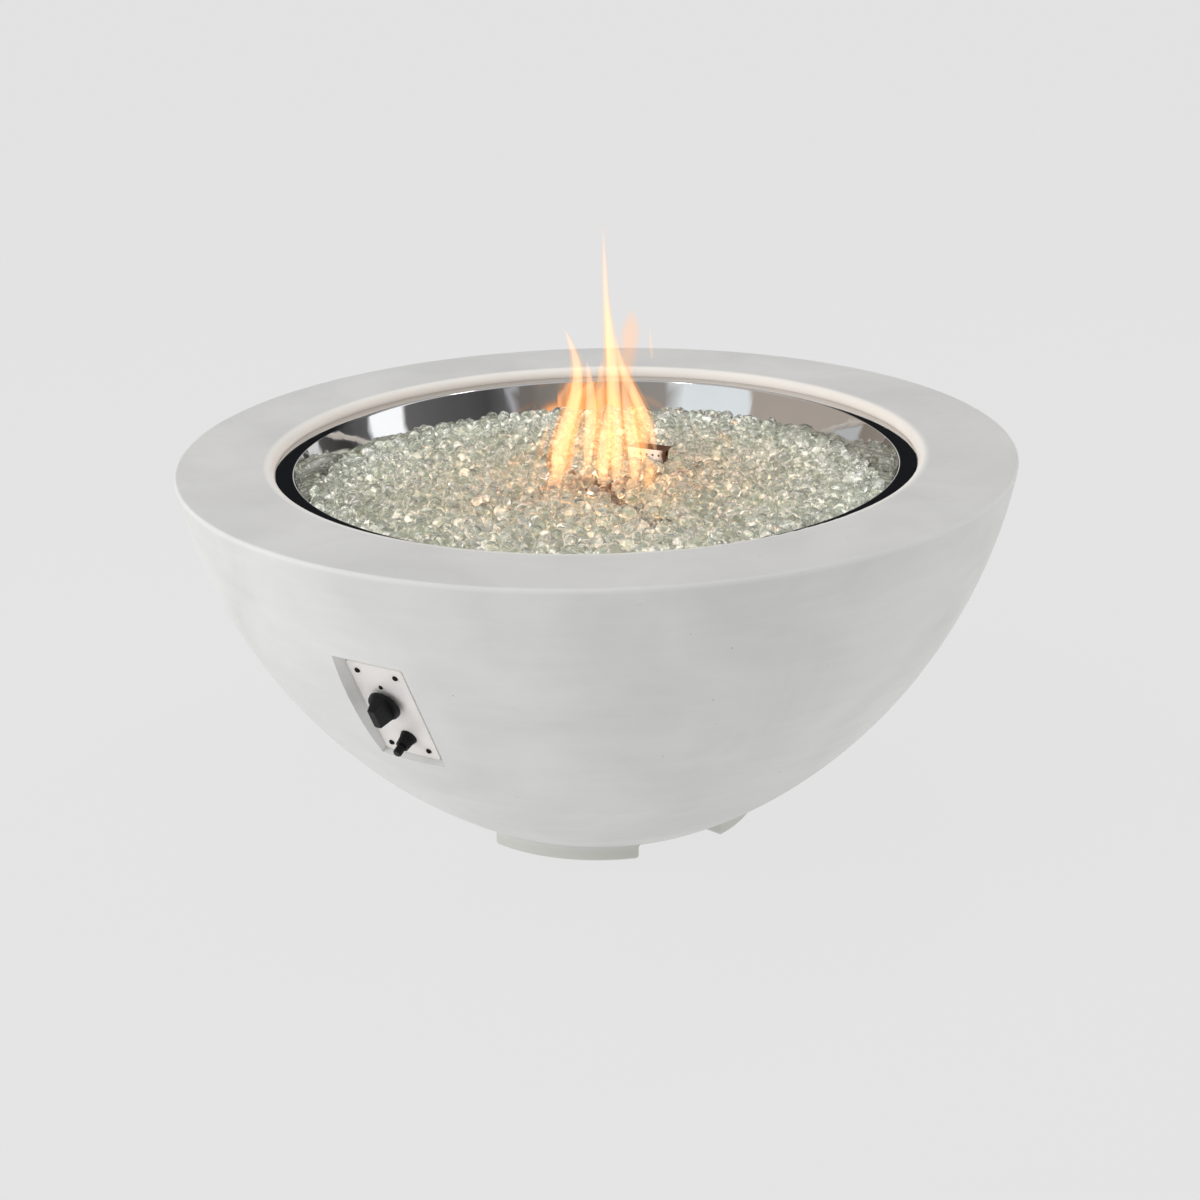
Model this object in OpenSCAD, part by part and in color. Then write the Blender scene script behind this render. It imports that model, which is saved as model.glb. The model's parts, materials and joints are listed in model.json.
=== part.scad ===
// Gas fire pit: a cast concrete bowl on four cast feet, with a drop-in
// stainless burner pan full of glass gems, a cross burner with a pilot, and a
// tilted control panel with a push-and-turn gas knob and a spark igniter.
// Millimetres. The floor is Z = 0, the bowl's axis is Z, the panel faces -Y.

/* [Bowl] */
// Outside diameter of the rim
rim_d = 1073; // [960:1:1190]
// Height from the floor to the rim
bowl_h = 489; // [440:1:540]
// Diameter of the flat underside, where the feet begin
base_d = 413; // [370:1:455]
// How far the side bows out from a straight line between base and rim
side_bulge = 64.2; // [56:0.1:72]
// Thickness of the cast wall
wall_t = 26; // [22:0.5:32]
// Thickness of the cast floor
floor_t = 26; // [20:0.5:36]
// Thickness of the slab that makes the flat rim
slab_t = 38; // [34:0.5:50]
// Diameter of the hole in the floor for the gas supply
base_hole_d = 220; // [180:1:260]
// Radius of the rounding on the outer edge of the rim
rim_edge_r = 4; // [2:0.5:8]
// Radius of the soft lip round the pan opening
lip_r = 10; // [6:0.5:11]

/* [Feet] */
// Height of the feet
foot_h = 21; // [15:0.5:30]
// Width of a foot along the radius
foot_w = 40; // [30:0.5:55]
// Angle that one foot covers
foot_span = 55; // [40:1:65]
// Turn of the first foot from the panel
foot_turn = 17; // [0:1:44]
// Radius of the rounding on the lower edge of a foot
foot_edge_r = 6; // [2:0.5:9]
// Radius of the rounding below and above at the ends of a foot
foot_end_r = 7; // [3:0.5:7]

/* [Burner pan] */
// Diameter of the pan at its mouth
pan_d = 774; // [700:1:850]
// Width of the flat flange of the pan
flange_w = 23; // [18:0.5:30]
// Depth of the flange below the rim
flange_drop = 12; // [10:0.5:16]
// Depth of the pan below its flange
pan_depth = 76; // [68:0.5:84]
// How much the pan wall leans in from mouth to floor
pan_draft = 17; // [10:0.5:24]
// Sheet thickness of the pan
pan_t = 1.5; // [1:0.1:3]
// Radius of the corner between pan wall and pan floor
pan_corner_r = 14; // [8:0.5:24]
// Diameter of each weep hole in the pan floor
weep_d = 9; // [6:0.5:14]
// Depth of the glass at the pan wall
glass_h = 25; // [24:0.5:36]
// How much higher the glass lies in the middle
glass_rise = 6; // [0:0.5:8]
// Diameter of one glass gem
gem_d = 18; // [12:0.5:20]
// Number of loose gems lying on the packed glass
gem_count = 160; // [0:1:400]

/* [Burner] */
// Length of a burner arm from the axis to its end
arm_l = 184; // [150:1:215]
// Outside diameter of an arm
arm_d = 19; // [15:0.5:22]
// Wall thickness of an arm
arm_t = 1.5; // [1:0.1:2.5]
// Turn of the first arm from the panel
arm_turn = 58; // [0:1:89]
// Number of flame ports along one arm
port_count = 9; // [4:1:14]
// Diameter of a flame port
port_d = 2.6; // [1.5:0.1:4]
// Diameter of the burner hub
hub_d = 50; // [44:0.5:60]

/* [Pilot] */
// Distance of the pilot from the axis
pilot_r = 155; // [130:1:180]
// Turn of the pilot from the panel
pilot_turn = 184; // [160:1:205]
// Length of the pilot hood
hood_l = 56; // [44:0.5:66]
// Depth of the pilot hood
hood_w = 24; // [20:0.5:30]
// Height of the hood's top above the packed glass
hood_show = 23; // [12:0.5:26]

/* [Control panel] */
// Height at which the panel's middle line leaves the bowl
panel_at = 281; // [240:1:320]
// Depth of the panel's face below the bowl's surface
panel_sink = 15.5; // [12:0.5:18]
// How much more upright the panel stands than the bowl's side there
panel_upright = 2.2; // [0:0.1:4]
// Width of the panel
panel_w = 79; // [70:0.5:88]
// Height of the panel
panel_h = 152; // [144:0.5:168]
// Thickness of the panel
panel_t = 2; // [1.5:0.1:3]
// Slope of the pocket's left wall from square
pocket_left = 22; // [5:1:45]
// Slope of the pocket's right wall from square
pocket_right = 50; // [20:1:55]
// Slope of the pocket's lower wall from square
pocket_low = 12; // [5:1:30]
// Slope of the pocket's upper wall from square
pocket_top = 52; // [20:1:55]
// Spacing of the panel screws across
screw_x = 54; // [48:0.5:60]
// Spacing of the panel screws up and down
screw_y = 125; // [115:0.5:136]
// Distance of the knob's axis to the right of the middle line
knob_x = -2.5; // [-4:0.5:4]
// Height of the knob's axis above the panel's middle
knob_y = 15.5; // [8:0.5:22]
// Distance of the igniter's axis to the right of the middle line
igniter_x = 5; // [-6:0.5:8]
// Distance of the igniter's axis below the panel's middle
igniter_y = 44; // [40:0.5:47]

/* [Knob and valve] */
// Diameter of the knob's skirt
knob_d = 42; // [34:0.5:46]
// Height of the knob from its skirt to its top
knob_h = 24; // [18:0.5:28]
// Width of the grip across its top
grip_w = 10; // [7:0.5:14]
// How far the knob pushes in
knob_push = 5; // [3:0.5:6]
// Diameter of the valve stem
stem_d = 8; // [6:0.5:9]
// Diameter of the round core of the valve
valve_d = 30; // [26:0.5:34]
// Spacing of the two valve screws
valve_screw_y = 48; // [46:0.5:54]

/* [Igniter] */
// Diameter of the igniter's flared base
bezel_d = 22; // [19:0.5:25]
// Diameter of the igniter's fluted collar at its outer end
collar_d = 16; // [14:0.5:18]
// Height of the collar above the panel
collar_h = 16; // [12:0.5:20]
// Diameter of the igniter's button
button_d = 11; // [9:0.5:12]
// How far the button stands out of the collar
button_show = 12; // [8:0.5:14]
// How far the button pushes in
button_push = 6; // [3:0.5:7]

/* [Hidden] */
$fn = 96;

// Clearances between pieces
slip = 0.05;
fit = 0.1;
seat = 0.3;
cut = 1;

// Side of the bowl: an arc through the base edge and the rim edge
rim_r = rim_d / 2;
base_r = base_d / 2;
chord = [rim_r - base_r, bowl_h - foot_h];
chord_l = norm(chord);
side_r = (chord_l * chord_l / 4 + side_bulge * side_bulge) / (2 * side_bulge);
arc_x = (rim_r + base_r) / 2 - chord[1] / chord_l * (side_r - side_bulge);
arc_z = (bowl_h + foot_h) / 2 + chord[0] / chord_l * (side_r - side_bulge);

// Levels from the rim down
slab_z = bowl_h - slab_t;
flange_z = bowl_h - flange_drop;
seat_z = flange_z - pan_t;
pan_floor_z = flange_z - pan_depth;
pan_under_z = pan_floor_z - pan_t;
pan_r = pan_d / 2;
flange_r = pan_r + flange_w;
pan_floor_r = pan_r - pan_draft;
seat_r = flange_r + cut;
mouth_r = pan_r + pan_t + 4;
glass_z = pan_floor_z + glass_h;
glass_gap = 0.9;
glass_lean = pan_draft * (glass_h - pan_corner_r) / (pan_depth - pan_corner_r);
glass_r = pan_floor_r - glass_gap + glass_lean;
floor_z = foot_h + floor_t;

// Frame of the control panel on the sloping side
side_tilt = asin((arc_z - panel_at) / side_r);
panel_tilt = side_tilt - panel_upright;
panel_y = -(arc_x + (side_r - panel_sink) * cos(side_tilt));
panel_z = arc_z - (side_r - panel_sink) * sin(side_tilt);
function on_panel(x, y, n) = [x,
    panel_y - y * sin(panel_tilt) - n * cos(panel_tilt),
    panel_z + y * cos(panel_tilt) - n * sin(panel_tilt)];

// Control panel fixings
screw_r = 2;
screw_head_r = 3.7;
screw_head_h = 2.4;
insert_r = 4;
insert_l = 7;
window_x = screw_x - 2 * insert_r - 7;
window_top = valve_screw_y / 2 + knob_y + 8;
window_low = igniter_y + 15;
valve_screw_r = 1.8;

// Valve and knob, along the panel's normal
knob_r = knob_d / 2;
stem_r = stem_d / 2;
knob_n = knob_push + 0.8;
skirt_h = 4.5;
knob_top_n = knob_n + knob_h;
knob_floor = 4;
valve_r = valve_d / 2;
valve_flange_t = 4;
valve_front_n = -panel_t;
stem_in_n = -16;
plunger_l = 9;
plunger_r = stem_r - 0.6;
spring_rest_l = 12;
spring_wire_r = 0.5;
bore_end_n = stem_in_n - plunger_l - spring_rest_l;
valve_end_n = bore_end_n - 4;
port_n = (stem_in_n + bore_end_n) / 2 - 2;
port_boss_r = 9;
inlet_lean = 35;
inlet_n = port_n + 6;
inlet_boss_l = valve_r + 10;
fitting_hex_r = 11;
flare_r = 7.94;
flare_l = 14;
magnet_l = 22;
magnet_r = 9.5;

// Hose from the valve to the mixer
hose_r = 6;
hose_bore_r = 4.2;
hose_socket_r = hose_r + fit;

// Igniter, along the panel's normal
button_r = button_d / 2;
bezel_r = bezel_d / 2;
collar_r = collar_d / 2;
shank_r = collar_r + 0.2;
bezel_h = 4.5;
button_in_n = collar_h - 9;
button_hole_r = button_r + slip;
button_spring_l = button_push + 5;
igniter_back_n = button_in_n - button_spring_l - 18;
igniter_core_r = shank_r - 1.4;

// Burner, below and above the pan floor
arm_r = arm_d / 2;
arm_z = pan_floor_z + arm_r + 11.5;
hub_r = hub_d / 2;
hub_h = arm_d + 5;
arm_in = hub_r - 9;
nipple_r = 10.5;
nipple_bore_r = 7.5;
gasket_t = 2;
hub_low_z = arm_z - hub_h / 2;
nipple_top_z = hub_low_z + 5;
nipple_low_z = pan_under_z - 48;
mixer_r = 15;
mixer_h = 46;
mixer_top_z = nipple_low_z + 12;
mixer_low_z = mixer_top_z - mixer_h;
orifice_hex_h = 16;
orifice_nut_h = 16;
hose_end_z = mixer_low_z - orifice_hex_h;
orifice_spigot_l = 10;
hose_stop_z = hose_end_z - orifice_spigot_l - seat;

// Pilot, in a frame turned to its place in the pan
hood_t = 1.2;
hood_top_z = glass_z + hood_show;
hood_skirt = 15;
bracket_t = 1.5;
bracket_x = hood_l - 16;
insulator_r = 3.5;
probe_r = 3;
probe_x = 13;
function at_pilot(x, y, z) = [
    x * cos(pilot_turn) + (pilot_r - y) * sin(pilot_turn),
    x * sin(pilot_turn) - (pilot_r - y) * cos(pilot_turn), z];
lead_start_z = pan_under_z - 18;
lead_r = 1.6;

// Smooth line through a row of points, and a tube that follows it
function between(a, b, c, d, t) = 0.5 * (2 * b + (c - a) * t
    + (2 * a - 5 * b + 4 * c - d) * t * t + (3 * b - a - 3 * c + d) * t * t * t);
function smooth(p, steps) = [
    for (i = [0 : len(p) - 2])
        for (k = [0 : (i == len(p) - 2 ? steps : steps - 1)])
            between(p[max(i - 1, 0)], p[i], p[i + 1], p[min(i + 2, len(p) - 1)], k / steps)];
function unit(v) = v / norm(v);
function heading(p, i) = unit(p[min(i + 1, len(p) - 1)] - p[max(i - 1, 0)]);
function carry(p, i, side) =
    let (h = heading(p, i))
    unit(side - (side * h) * h);
function sides(p, i = 0, side = [0.31, 0.17, 0.93], done = []) =
    i == len(p) ? done
    : let (s = carry(p, i, side)) sides(p, i + 1, s, concat(done, [s]));
function ring(c, side, h, r, n) =
    let (up = cross(h, side))
    [for (k = [0 : n - 1]) c + r * (cos(360 * k / n) * side + sin(360 * k / n) * up)];

// The same line in even steps
function run(p, i = 0, s = 0, done = []) =
    i == len(p) ? done
    : let (d = i == 0 ? 0 : s + norm(p[i] - p[i - 1])) run(p, i + 1, d, concat(done, [d]));
function evenly(p, n) =
    let (c = run(p),
         table = [for (a = [0 : 2]) [for (i = [0 : len(p) - 1]) [c[i], p[i][a]]]],
         whole = c[len(c) - 1])
    [for (k = [0 : n]) [for (a = [0 : 2]) lookup(whole * k / n, table[a])]];
// Least clear distance of a wound tube from itself, measured on its points
function self_gap(p, r, skip) = min([for (i = [0 : len(p) - 1]) for (j = [i + skip : 1 : len(p) - 1])
    norm(p[i] - p[j]) - 2 * r]);

// Two triangles for a wall between rings i and i + 1, and a fan for an end
function wall(i, k, n, o = 0) = let (m = (k + 1) % n)
    [[o + i * n + k, o + (i + 1) * n + k, o + (i + 1) * n + m], [o + i * n + k, o + (i + 1) * n + m, o + i * n + m]];
function turned(f) = [for (t = f) [t[0], t[2], t[1]]];

// Solid rod along a line of points
module rod(p, r, n = 8) {
    s = sides(p);
    m = len(p);
    e = (m - 1) * n;
    rings = [for (i = [0 : m - 1]) each ring(p[i], s[i], heading(p, i), r, n)];
    walls = [for (i = [0 : m - 2]) for (k = [0 : n - 1]) each wall(i, k, n)];
    first = [for (k = [1 : n - 2]) [0, k, k + 1]];
    last = [for (k = [1 : n - 2]) [e, e + k + 1, e + k]];
    polyhedron(rings, concat(walls, first, last), convexity = 8);
}

// Ribbed tube with a bore: between plain ends the rings swell and narrow in turn
module ribbed_tube(p, r_rib, r_groove, r_bore, plain, n = 8) {
    s = sides(p);
    m = len(p);
    e = (m - 1) * n;
    w = m * n;
    outer = [for (i = [0 : m - 1]) each
        ring(p[i], s[i], heading(p, i),
             i < plain || i >= m - plain ? r_groove : (i % 2 == 0 ? r_rib : r_groove), n)];
    inner = [for (i = [0 : m - 1]) each ring(p[i], s[i], heading(p, i), r_bore, n)];
    skin = [for (i = [0 : m - 2]) for (k = [0 : n - 1]) each wall(i, k, n)];
    bore = [for (i = [0 : m - 2]) for (k = [0 : n - 1]) each turned(wall(i, k, n, w))];
    near = [for (k = [0 : n - 1]) let (j = (k + 1) % n) each [[k, j, w + j], [k, w + j, w + k]]];
    far = [for (k = [0 : n - 1]) let (j = (k + 1) % n)
        each [[e + k, w + e + j, e + j], [e + k, w + e + k, w + e + j]]];
    polyhedron(concat(outer, inner), concat(skin, bore, near, far), convexity = 12);
}

// Spring along +Z from its wire's middle, as one unbroken tube
function coil(r, l, turns, per) = [for (i = [0 : turns * per])
    [r * cos(360 * i / per), r * sin(360 * i / per), l * i / (turns * per)]];

// Frames for the pieces of the panel and of the pilot
module at_panel() {
    translate([0, panel_y, panel_z]) rotate([90 + panel_tilt, 0, 0]) children();
}
module at_knob() {
    at_panel() translate([knob_x, knob_y, 0]) children();
}
module outlet_way() {
    translate([0, 0, port_n]) rotate([0, 90, 0]) children();
}
module inlet_way() {
    translate([0, 0, inlet_n]) rotate([0, -90 - inlet_lean, 0]) children();
}
module at_igniter() {
    at_panel() translate([igniter_x, -igniter_y, 0]) children();
}
module in_pilot() {
    rotate([0, 0, pilot_turn]) translate([0, -pilot_r, 0]) children();
}
module each_arm() {
    for (k = [0 : 3]) rotate([0, 0, arm_turn + 90 * k]) children();
}
module each_panel_screw() {
    for (x = [-1, 1]) for (y = [-1, 1]) translate([x * screw_x / 2, y * screw_y / 2, 0]) children();
}
module each_valve_screw() {
    for (y = [-1, 1]) translate([knob_x, knob_y + y * valve_screw_y / 2, 0]) children();
}

// Round tube along +Z
module tube(r_out, r_in, h) {
    difference() {
        cylinder(r = r_out, h = h);
        translate([0, 0, -cut]) cylinder(r = r_in, h = h + 2 * cut);
    }
}
// Hexagon bar along +Z with a bore
module hex_tube(r_out, r_in, h) {
    difference() {
        cylinder(r = r_out, h = h, $fn = 6);
        translate([0, 0, -cut]) cylinder(r = r_in, h = h + 2 * cut);
    }
}

// Half section of the cast bowl
module bowl_section() {
    difference() {
        intersection() {
            translate([arc_x, arc_z]) circle(r = side_r);
            translate([0, foot_h]) square([rim_r + cut, bowl_h - foot_h]);
        }
        intersection() {
            translate([arc_x, arc_z]) circle(r = side_r - wall_t);
            translate([0, floor_z]) square([rim_r, slab_z - floor_z]);
        }
        translate([0, foot_h - cut]) square([base_hole_d / 2, floor_t + 2 * cut]);
        translate([0, slab_z - cut]) square([mouth_r, slab_t + 2 * cut]);
        translate([0, seat_z]) square([seat_r, bowl_h - seat_z + cut]);
        difference() {
            translate([seat_r - cut, bowl_h - lip_r]) square([lip_r + cut, lip_r + cut]);
            translate([seat_r + lip_r, bowl_h - lip_r]) circle(r = lip_r);
        }
        rim_edge();
    }
}

// Corner taken off the outer edge of the rim, as a rounding of short flats
module rim_edge() {
    ez = bowl_h - rim_edge_r;
    ex = arc_x + sqrt(pow(side_r - rim_edge_r, 2) - pow(arc_z - ez, 2));
    low = atan2(ez - arc_z, ex - arc_x);
    round = [for (k = [0 : 6]) let (a = low + (90 - low) * k / 6)
        [ex + rim_edge_r * cos(a), ez + rim_edge_r * sin(a)]];
    start = round[0] + 2 * (round[0] - round[1]);
    end = round[6] + (round[6] - round[5]);
    polygon(concat([start], [for (k = [1 : 5]) round[k]],
        [end, [end[0], bowl_h + 2 * cut], [rim_r + 4 * cut, bowl_h + 2 * cut], [rim_r + 4 * cut, start[1]]]));
}

// One foot, as a bent bar with a rounded lower edge and rounded ends
module foot() {
    top = foot_h + 4;
    out = base_r - 0.6;
    difference() {
        rotate([0, 0, -90 - foot_span / 2]) rotate_extrude(angle = foot_span)
            difference() {
                translate([out - foot_w, 0]) square([foot_w, top]);
                difference() {
                    translate([out - foot_edge_r, -cut]) square([foot_edge_r + cut, foot_edge_r + cut]);
                    translate([out - foot_edge_r, foot_edge_r]) circle(r = foot_edge_r);
                }
            }
        each_foot_end() translate([0, cut - out + foot_w, 0]) rotate([90, 0, 0])
            linear_extrude(foot_w + 2 * cut) foot_corner();
    }
    each_foot_end() translate([0, foot_w - out - 0.5, 0]) rotate([90, 0, 0])
        linear_extrude(foot_w - 1) foot_fillet();
}

// Both ends of a foot: X points out of the end, the end lies in the plane of Y and Z
module each_foot_end() {
    for (s = [0, 1]) mirror([s, 0, 0]) rotate([0, 0, foot_span / 2]) children();
}

// Corner taken off under the end of a foot, as a rounding of short flats
module foot_corner() {
    e = foot_end_r;
    round = [for (k = [0 : 6]) let (a = 270 + 15 * k) [-e + e * cos(a), e + e * sin(a)]];
    start = round[0] + 2 * (round[0] - round[1]);
    end = round[6] + 2 * (round[6] - round[5]);
    polygon(concat([start], [for (k = [1 : 5]) round[k]],
        [end, [end[0] + 2 * cut, end[1]], [end[0] + 2 * cut, -4 * cut], [start[0], -4 * cut]]));
}

// Hollow rounding between the end of a foot and the bowl's underside
module foot_fillet() {
    f = foot_end_r;
    low = foot_h - 0.85 * f;
    polygon(concat([[-3, foot_h + 3], [-3, low]],
        [for (k = [0 : 5]) let (a = 180 - 14 * k) [f + f * cos(a), low + f * sin(a)]],
        [[f + f * cos(110), foot_h + 3]]));
}

// Pocket for the panel: straight floor, four walls of their own slope
module panel_pocket() {
    deep = panel_t + fit;
    out = 40;
    w = panel_w / 2 + seat;
    h = panel_h / 2 + seat;
    rise = out + deep;
    left = -w - rise * tan(pocket_left);
    right = w + rise * tan(pocket_right);
    low = -h - rise * tan(pocket_low);
    top = h + rise * tan(pocket_top);
    polyhedron(
        [[-w, -h, -deep], [w, -h, -deep], [w, h, -deep], [-w, h, -deep],
         [left, low, out], [right, low, out], [right, top, out], [left, top, out]],
        [[0, 1, 2, 3], [4, 7, 6, 5], [0, 4, 5, 1], [1, 5, 6, 2], [2, 6, 7, 3], [3, 7, 4, 0]]);
}

module bowl_shell() {
    color([0.84, 0.84, 0.82])
    difference() {
        union() {
            rotate_extrude($fn = 180) bowl_section();
            for (k = [0 : 3]) rotate([0, 0, foot_turn + 90 * k]) foot();
        }
        at_panel() {
            panel_pocket();
            translate([-window_x / 2, -window_low, -60])
                cube([window_x, window_low + window_top, 61]);
            each_panel_screw() translate([0, 0, -panel_t - insert_l - cut])
                cylinder(r = insert_r + slip, h = insert_l + 2 * cut);
        }
    }
}

module panel_inserts() {
    color([0.72, 0.58, 0.32])
    at_panel() each_panel_screw() translate([0, 0, -panel_t - insert_l - fit])
        tube(insert_r, screw_r + fit, insert_l);
}

// Half section of the pan: flange, leaning wall, rounded corner, flat floor
module pan_section() {
    c = pan_corner_r;
    inner = concat([[pan_r, flange_z]],
        [for (k = [0 : 6]) let (a = 90 * k / 6)
            [pan_floor_r - c + c * cos(a), pan_floor_z + c - c * sin(a)]]);
    outer = concat(
        [for (k = [6 : -1 : 0]) let (a = 90 * k / 6)
            [pan_floor_r - c + (c + pan_t) * cos(a), pan_floor_z + c - (c + pan_t) * sin(a)]],
        [[pan_r + pan_t, flange_z - pan_t]]);
    polygon(concat([[nipple_r + fit, pan_floor_z]], [for (k = [len(inner) - 1 : -1 : 0]) inner[k]],
        [[flange_r, flange_z], [flange_r, flange_z - pan_t]],
        [for (k = [len(outer) - 1 : -1 : 0]) outer[k]], [[nipple_r + fit, pan_under_z]]));
}

module burner_pan() {
    color([0.62, 0.60, 0.57])
    difference() {
        rotate_extrude($fn = 180) pan_section();
        for (k = [0 : 5]) rotate([0, 0, 30 + 60 * k]) translate([pan_floor_r * 0.62, 0, pan_under_z - cut])
            cylinder(d = weep_d, h = pan_t + 2 * cut);
        in_pilot() {
            translate([-probe_x, 0, pan_under_z - cut]) cylinder(r = insulator_r + seat, h = pan_t + 2 * cut);
            translate([probe_x, 0, pan_under_z - cut]) cylinder(r = probe_r + seat, h = pan_t + 2 * cut);
            for (x = [-1, 1]) translate([x * bracket_x / 2, -hood_w / 2 - 7, pan_under_z - cut])
                cylinder(r = 2 + fit, h = pan_t + 2 * cut);
        }
    }
}

module control_panel() {
    k = 3;
    w = panel_w / 2;
    h = panel_h / 2;
    color([0.82, 0.79, 0.77])
    at_panel() translate([0, 0, -panel_t]) difference() {
        linear_extrude(panel_t) polygon([[-w + k, -h], [w - k, -h], [w, -h + k], [w, h - k],
            [w - k, h], [-w + k, h], [-w, h - k], [-w, -h + k]]);
        translate([0, 0, -cut]) {
            each_panel_screw() cylinder(r = screw_r + 0.3, h = panel_t + 2 * cut);
            each_valve_screw() cylinder(r = valve_screw_r + 0.2, h = panel_t + 2 * cut);
            translate([knob_x, knob_y, 0]) cylinder(r = stem_r + 2, h = panel_t + 2 * cut);
            translate([igniter_x, -igniter_y, 0]) cylinder(r = shank_r + fit, h = panel_t + 2 * cut);
        }
    }
}

// Button head screw along -Z with a cross recess, its head standing on Z = 0
module head_screw(r, head_r, head_h, l) {
    difference() {
        union() {
            translate([0, 0, -l]) cylinder(r = r, h = l + 0.01);
            cylinder(r1 = head_r, r2 = head_r * 0.62, h = head_h);
        }
        for (a = [0, 90]) rotate([0, 0, a]) translate([-head_r * 0.5, -0.45, head_h - 1.1])
            cube([head_r, 0.9, 2]);
    }
}

module panel_screws() {
    color([0.06, 0.06, 0.06])
    at_panel() each_panel_screw() head_screw(screw_r, screw_head_r, screw_head_h, insert_l);
}

module valve_screws() {
    color([0.06, 0.06, 0.06])
    at_panel() each_valve_screw()
        head_screw(valve_screw_r, screw_head_r * 0.8, screw_head_h * 0.8, panel_t + valve_flange_t - 0.5);
}

module gas_valve() {
    color([0.74, 0.66, 0.46])
    at_knob() difference() {
        union() {
            translate([0, 0, valve_end_n]) cylinder(r = valve_r, h = valve_front_n - valve_end_n);
            translate([-valve_r * 0.7, -valve_screw_y / 2 - 6, valve_front_n - valve_flange_t])
                cube([valve_r * 1.4, valve_screw_y + 12, valve_flange_t]);
            outlet_way() cylinder(r = port_boss_r, h = valve_r + 8);
            inlet_way() cylinder(r = port_boss_r, h = inlet_boss_l);
        }
        translate([0, 0, bore_end_n]) cylinder(r = stem_r + slip, h = 100);
        outlet_way() translate([0, 0, stem_r - 1]) cylinder(r = 3, h = valve_r + 20);
        outlet_way() translate([0, 0, valve_r - 2]) cylinder(r = 6 + fit, h = 20);
        inlet_way() cylinder(r = 3, h = valve_r + 20);
        inlet_way() translate([0, 0, inlet_boss_l - 10]) cylinder(r = 6 + fit, h = 20);
        for (y = [-1, 1]) translate([0, y * valve_screw_y / 2, valve_front_n - valve_flange_t - cut])
            cylinder(r = valve_screw_r + fit, h = valve_flange_t + 2 * cut);
        translate([0, 0, valve_end_n - cut]) cylinder(r = 5 + fit, h = 4);
    }
}

module valve_plunger() {
    color([0.80, 0.80, 0.78])
    at_knob() translate([0, 0, stem_in_n - seat - plunger_l]) {
        cylinder(r = plunger_r, h = plunger_l);
        translate([0, 0, plunger_l - 3]) cylinder(r = stem_r - 0.02, h = 3);
    }
}

plunger_coil = coil(stem_r - 1, spring_rest_l - 1.4 - seat, 5, 8);
echo(plunger_spring_gap = self_gap(plunger_coil, spring_wire_r, 6));
module plunger_spring() {
    color([0.55, 0.55, 0.55])
    at_knob() translate([0, 0, bore_end_n + 0.7]) rod(plunger_coil, spring_wire_r, 6);
}

module valve_stem() {
    color([0.80, 0.80, 0.78])
    at_knob() difference() {
        translate([0, 0, stem_in_n]) cylinder(r = stem_r, h = knob_top_n - knob_floor - 1 - stem_in_n);
        translate([-stem_r, stem_r * 0.6, knob_n - 1]) cube([2 * stem_r, stem_r, knob_h]);
    }
}

module gas_knob() {
    taper = knob_r * 0.28;
    color([0.07, 0.07, 0.07])
    at_knob() difference() {
        union() {
            translate([0, 0, knob_n]) cylinder(r1 = knob_r, r2 = knob_r - 0.8, h = skirt_h);
            intersection() {
                translate([0, 0, knob_n]) cylinder(r1 = knob_r - 1, r2 = knob_r - 1 - taper, h = knob_h);
                rotate([90, 0, 0]) translate([0, 0, -knob_r]) linear_extrude(knob_d)
                    polygon([[-grip_w, knob_n], [grip_w, knob_n],
                             [grip_w / 2, knob_top_n], [-grip_w / 2, knob_top_n]]);
            }
        }
        translate([0, 0, knob_n - cut]) cylinder(r = stem_r + fit, h = knob_h - knob_floor + cut);
        translate([0, 0, knob_n - cut]) difference() {
            cylinder(r = knob_r - 2.5, h = 2 + cut);
            cylinder(r = stem_r + 3, h = 2 + 2 * cut);
        }
        translate([-0.6, knob_r - 9, knob_top_n - 0.8]) cube([1.2, 12, 2]);
    }
}

module magnet_unit() {
    color([0.70, 0.56, 0.30])
    at_knob() translate([0, 0, valve_end_n]) rotate([180, 0, 0]) {
        translate([0, 0, -2.5]) cylinder(r = 5, h = 4);
        difference() {
            cylinder(r = magnet_r, h = magnet_l);
            translate([0, 0, magnet_l - 8]) cylinder(r = 4.2, h = 10);
        }
    }
}

module inlet_fitting() {
    color([0.78, 0.62, 0.34])
    at_knob() inlet_way() translate([0, 0, inlet_boss_l]) difference() {
        union() {
            translate([0, 0, -8]) cylinder(r = 6, h = 9);
            cylinder(r = fitting_hex_r, h = 9, $fn = 6);
            cylinder(r = flare_r, h = 9 + flare_l);
            translate([0, 0, 9 + flare_l]) cylinder(r1 = flare_r - 1, r2 = 5, h = 4);
        }
        translate([0, 0, -9]) cylinder(r = 4, h = 60);
    }
}

module outlet_nut() {
    color([0.78, 0.62, 0.34])
    at_knob() outlet_way() translate([0, 0, valve_r + 8]) difference() {
        union() {
            translate([0, 0, -8]) cylinder(r = 6, h = 9);
            cylinder(r = fitting_hex_r, h = 16, $fn = 6);
        }
        translate([0, 0, -9]) cylinder(r = 4, h = 60);
        translate([0, 0, 6]) cylinder(r = hose_socket_r, h = 20);
    }
}

// Line of the hose: out of the valve's side, round under the pan, up to the mixer
hose_from = on_panel(knob_x + valve_r + 14.5, knob_y, port_n);
hose_line = evenly(smooth([
    hose_from, hose_from + [14, 0, 0], hose_from + [28, 0, 0], hose_from + [66, 34, -4],
    [98, panel_y + 160, hose_from[2] - 26], [84, -180, hose_end_z - 64], [44, -66, hose_end_z - 112],
    [12, -14, hose_end_z - 104], [0, 0, hose_stop_z - 50], [0, 0, hose_stop_z - 26],
    [0, 0, hose_stop_z - 13], [0, 0, hose_stop_z]], 16), 190);
echo(hose_gap = self_gap(hose_line, hose_r, 12));

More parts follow.
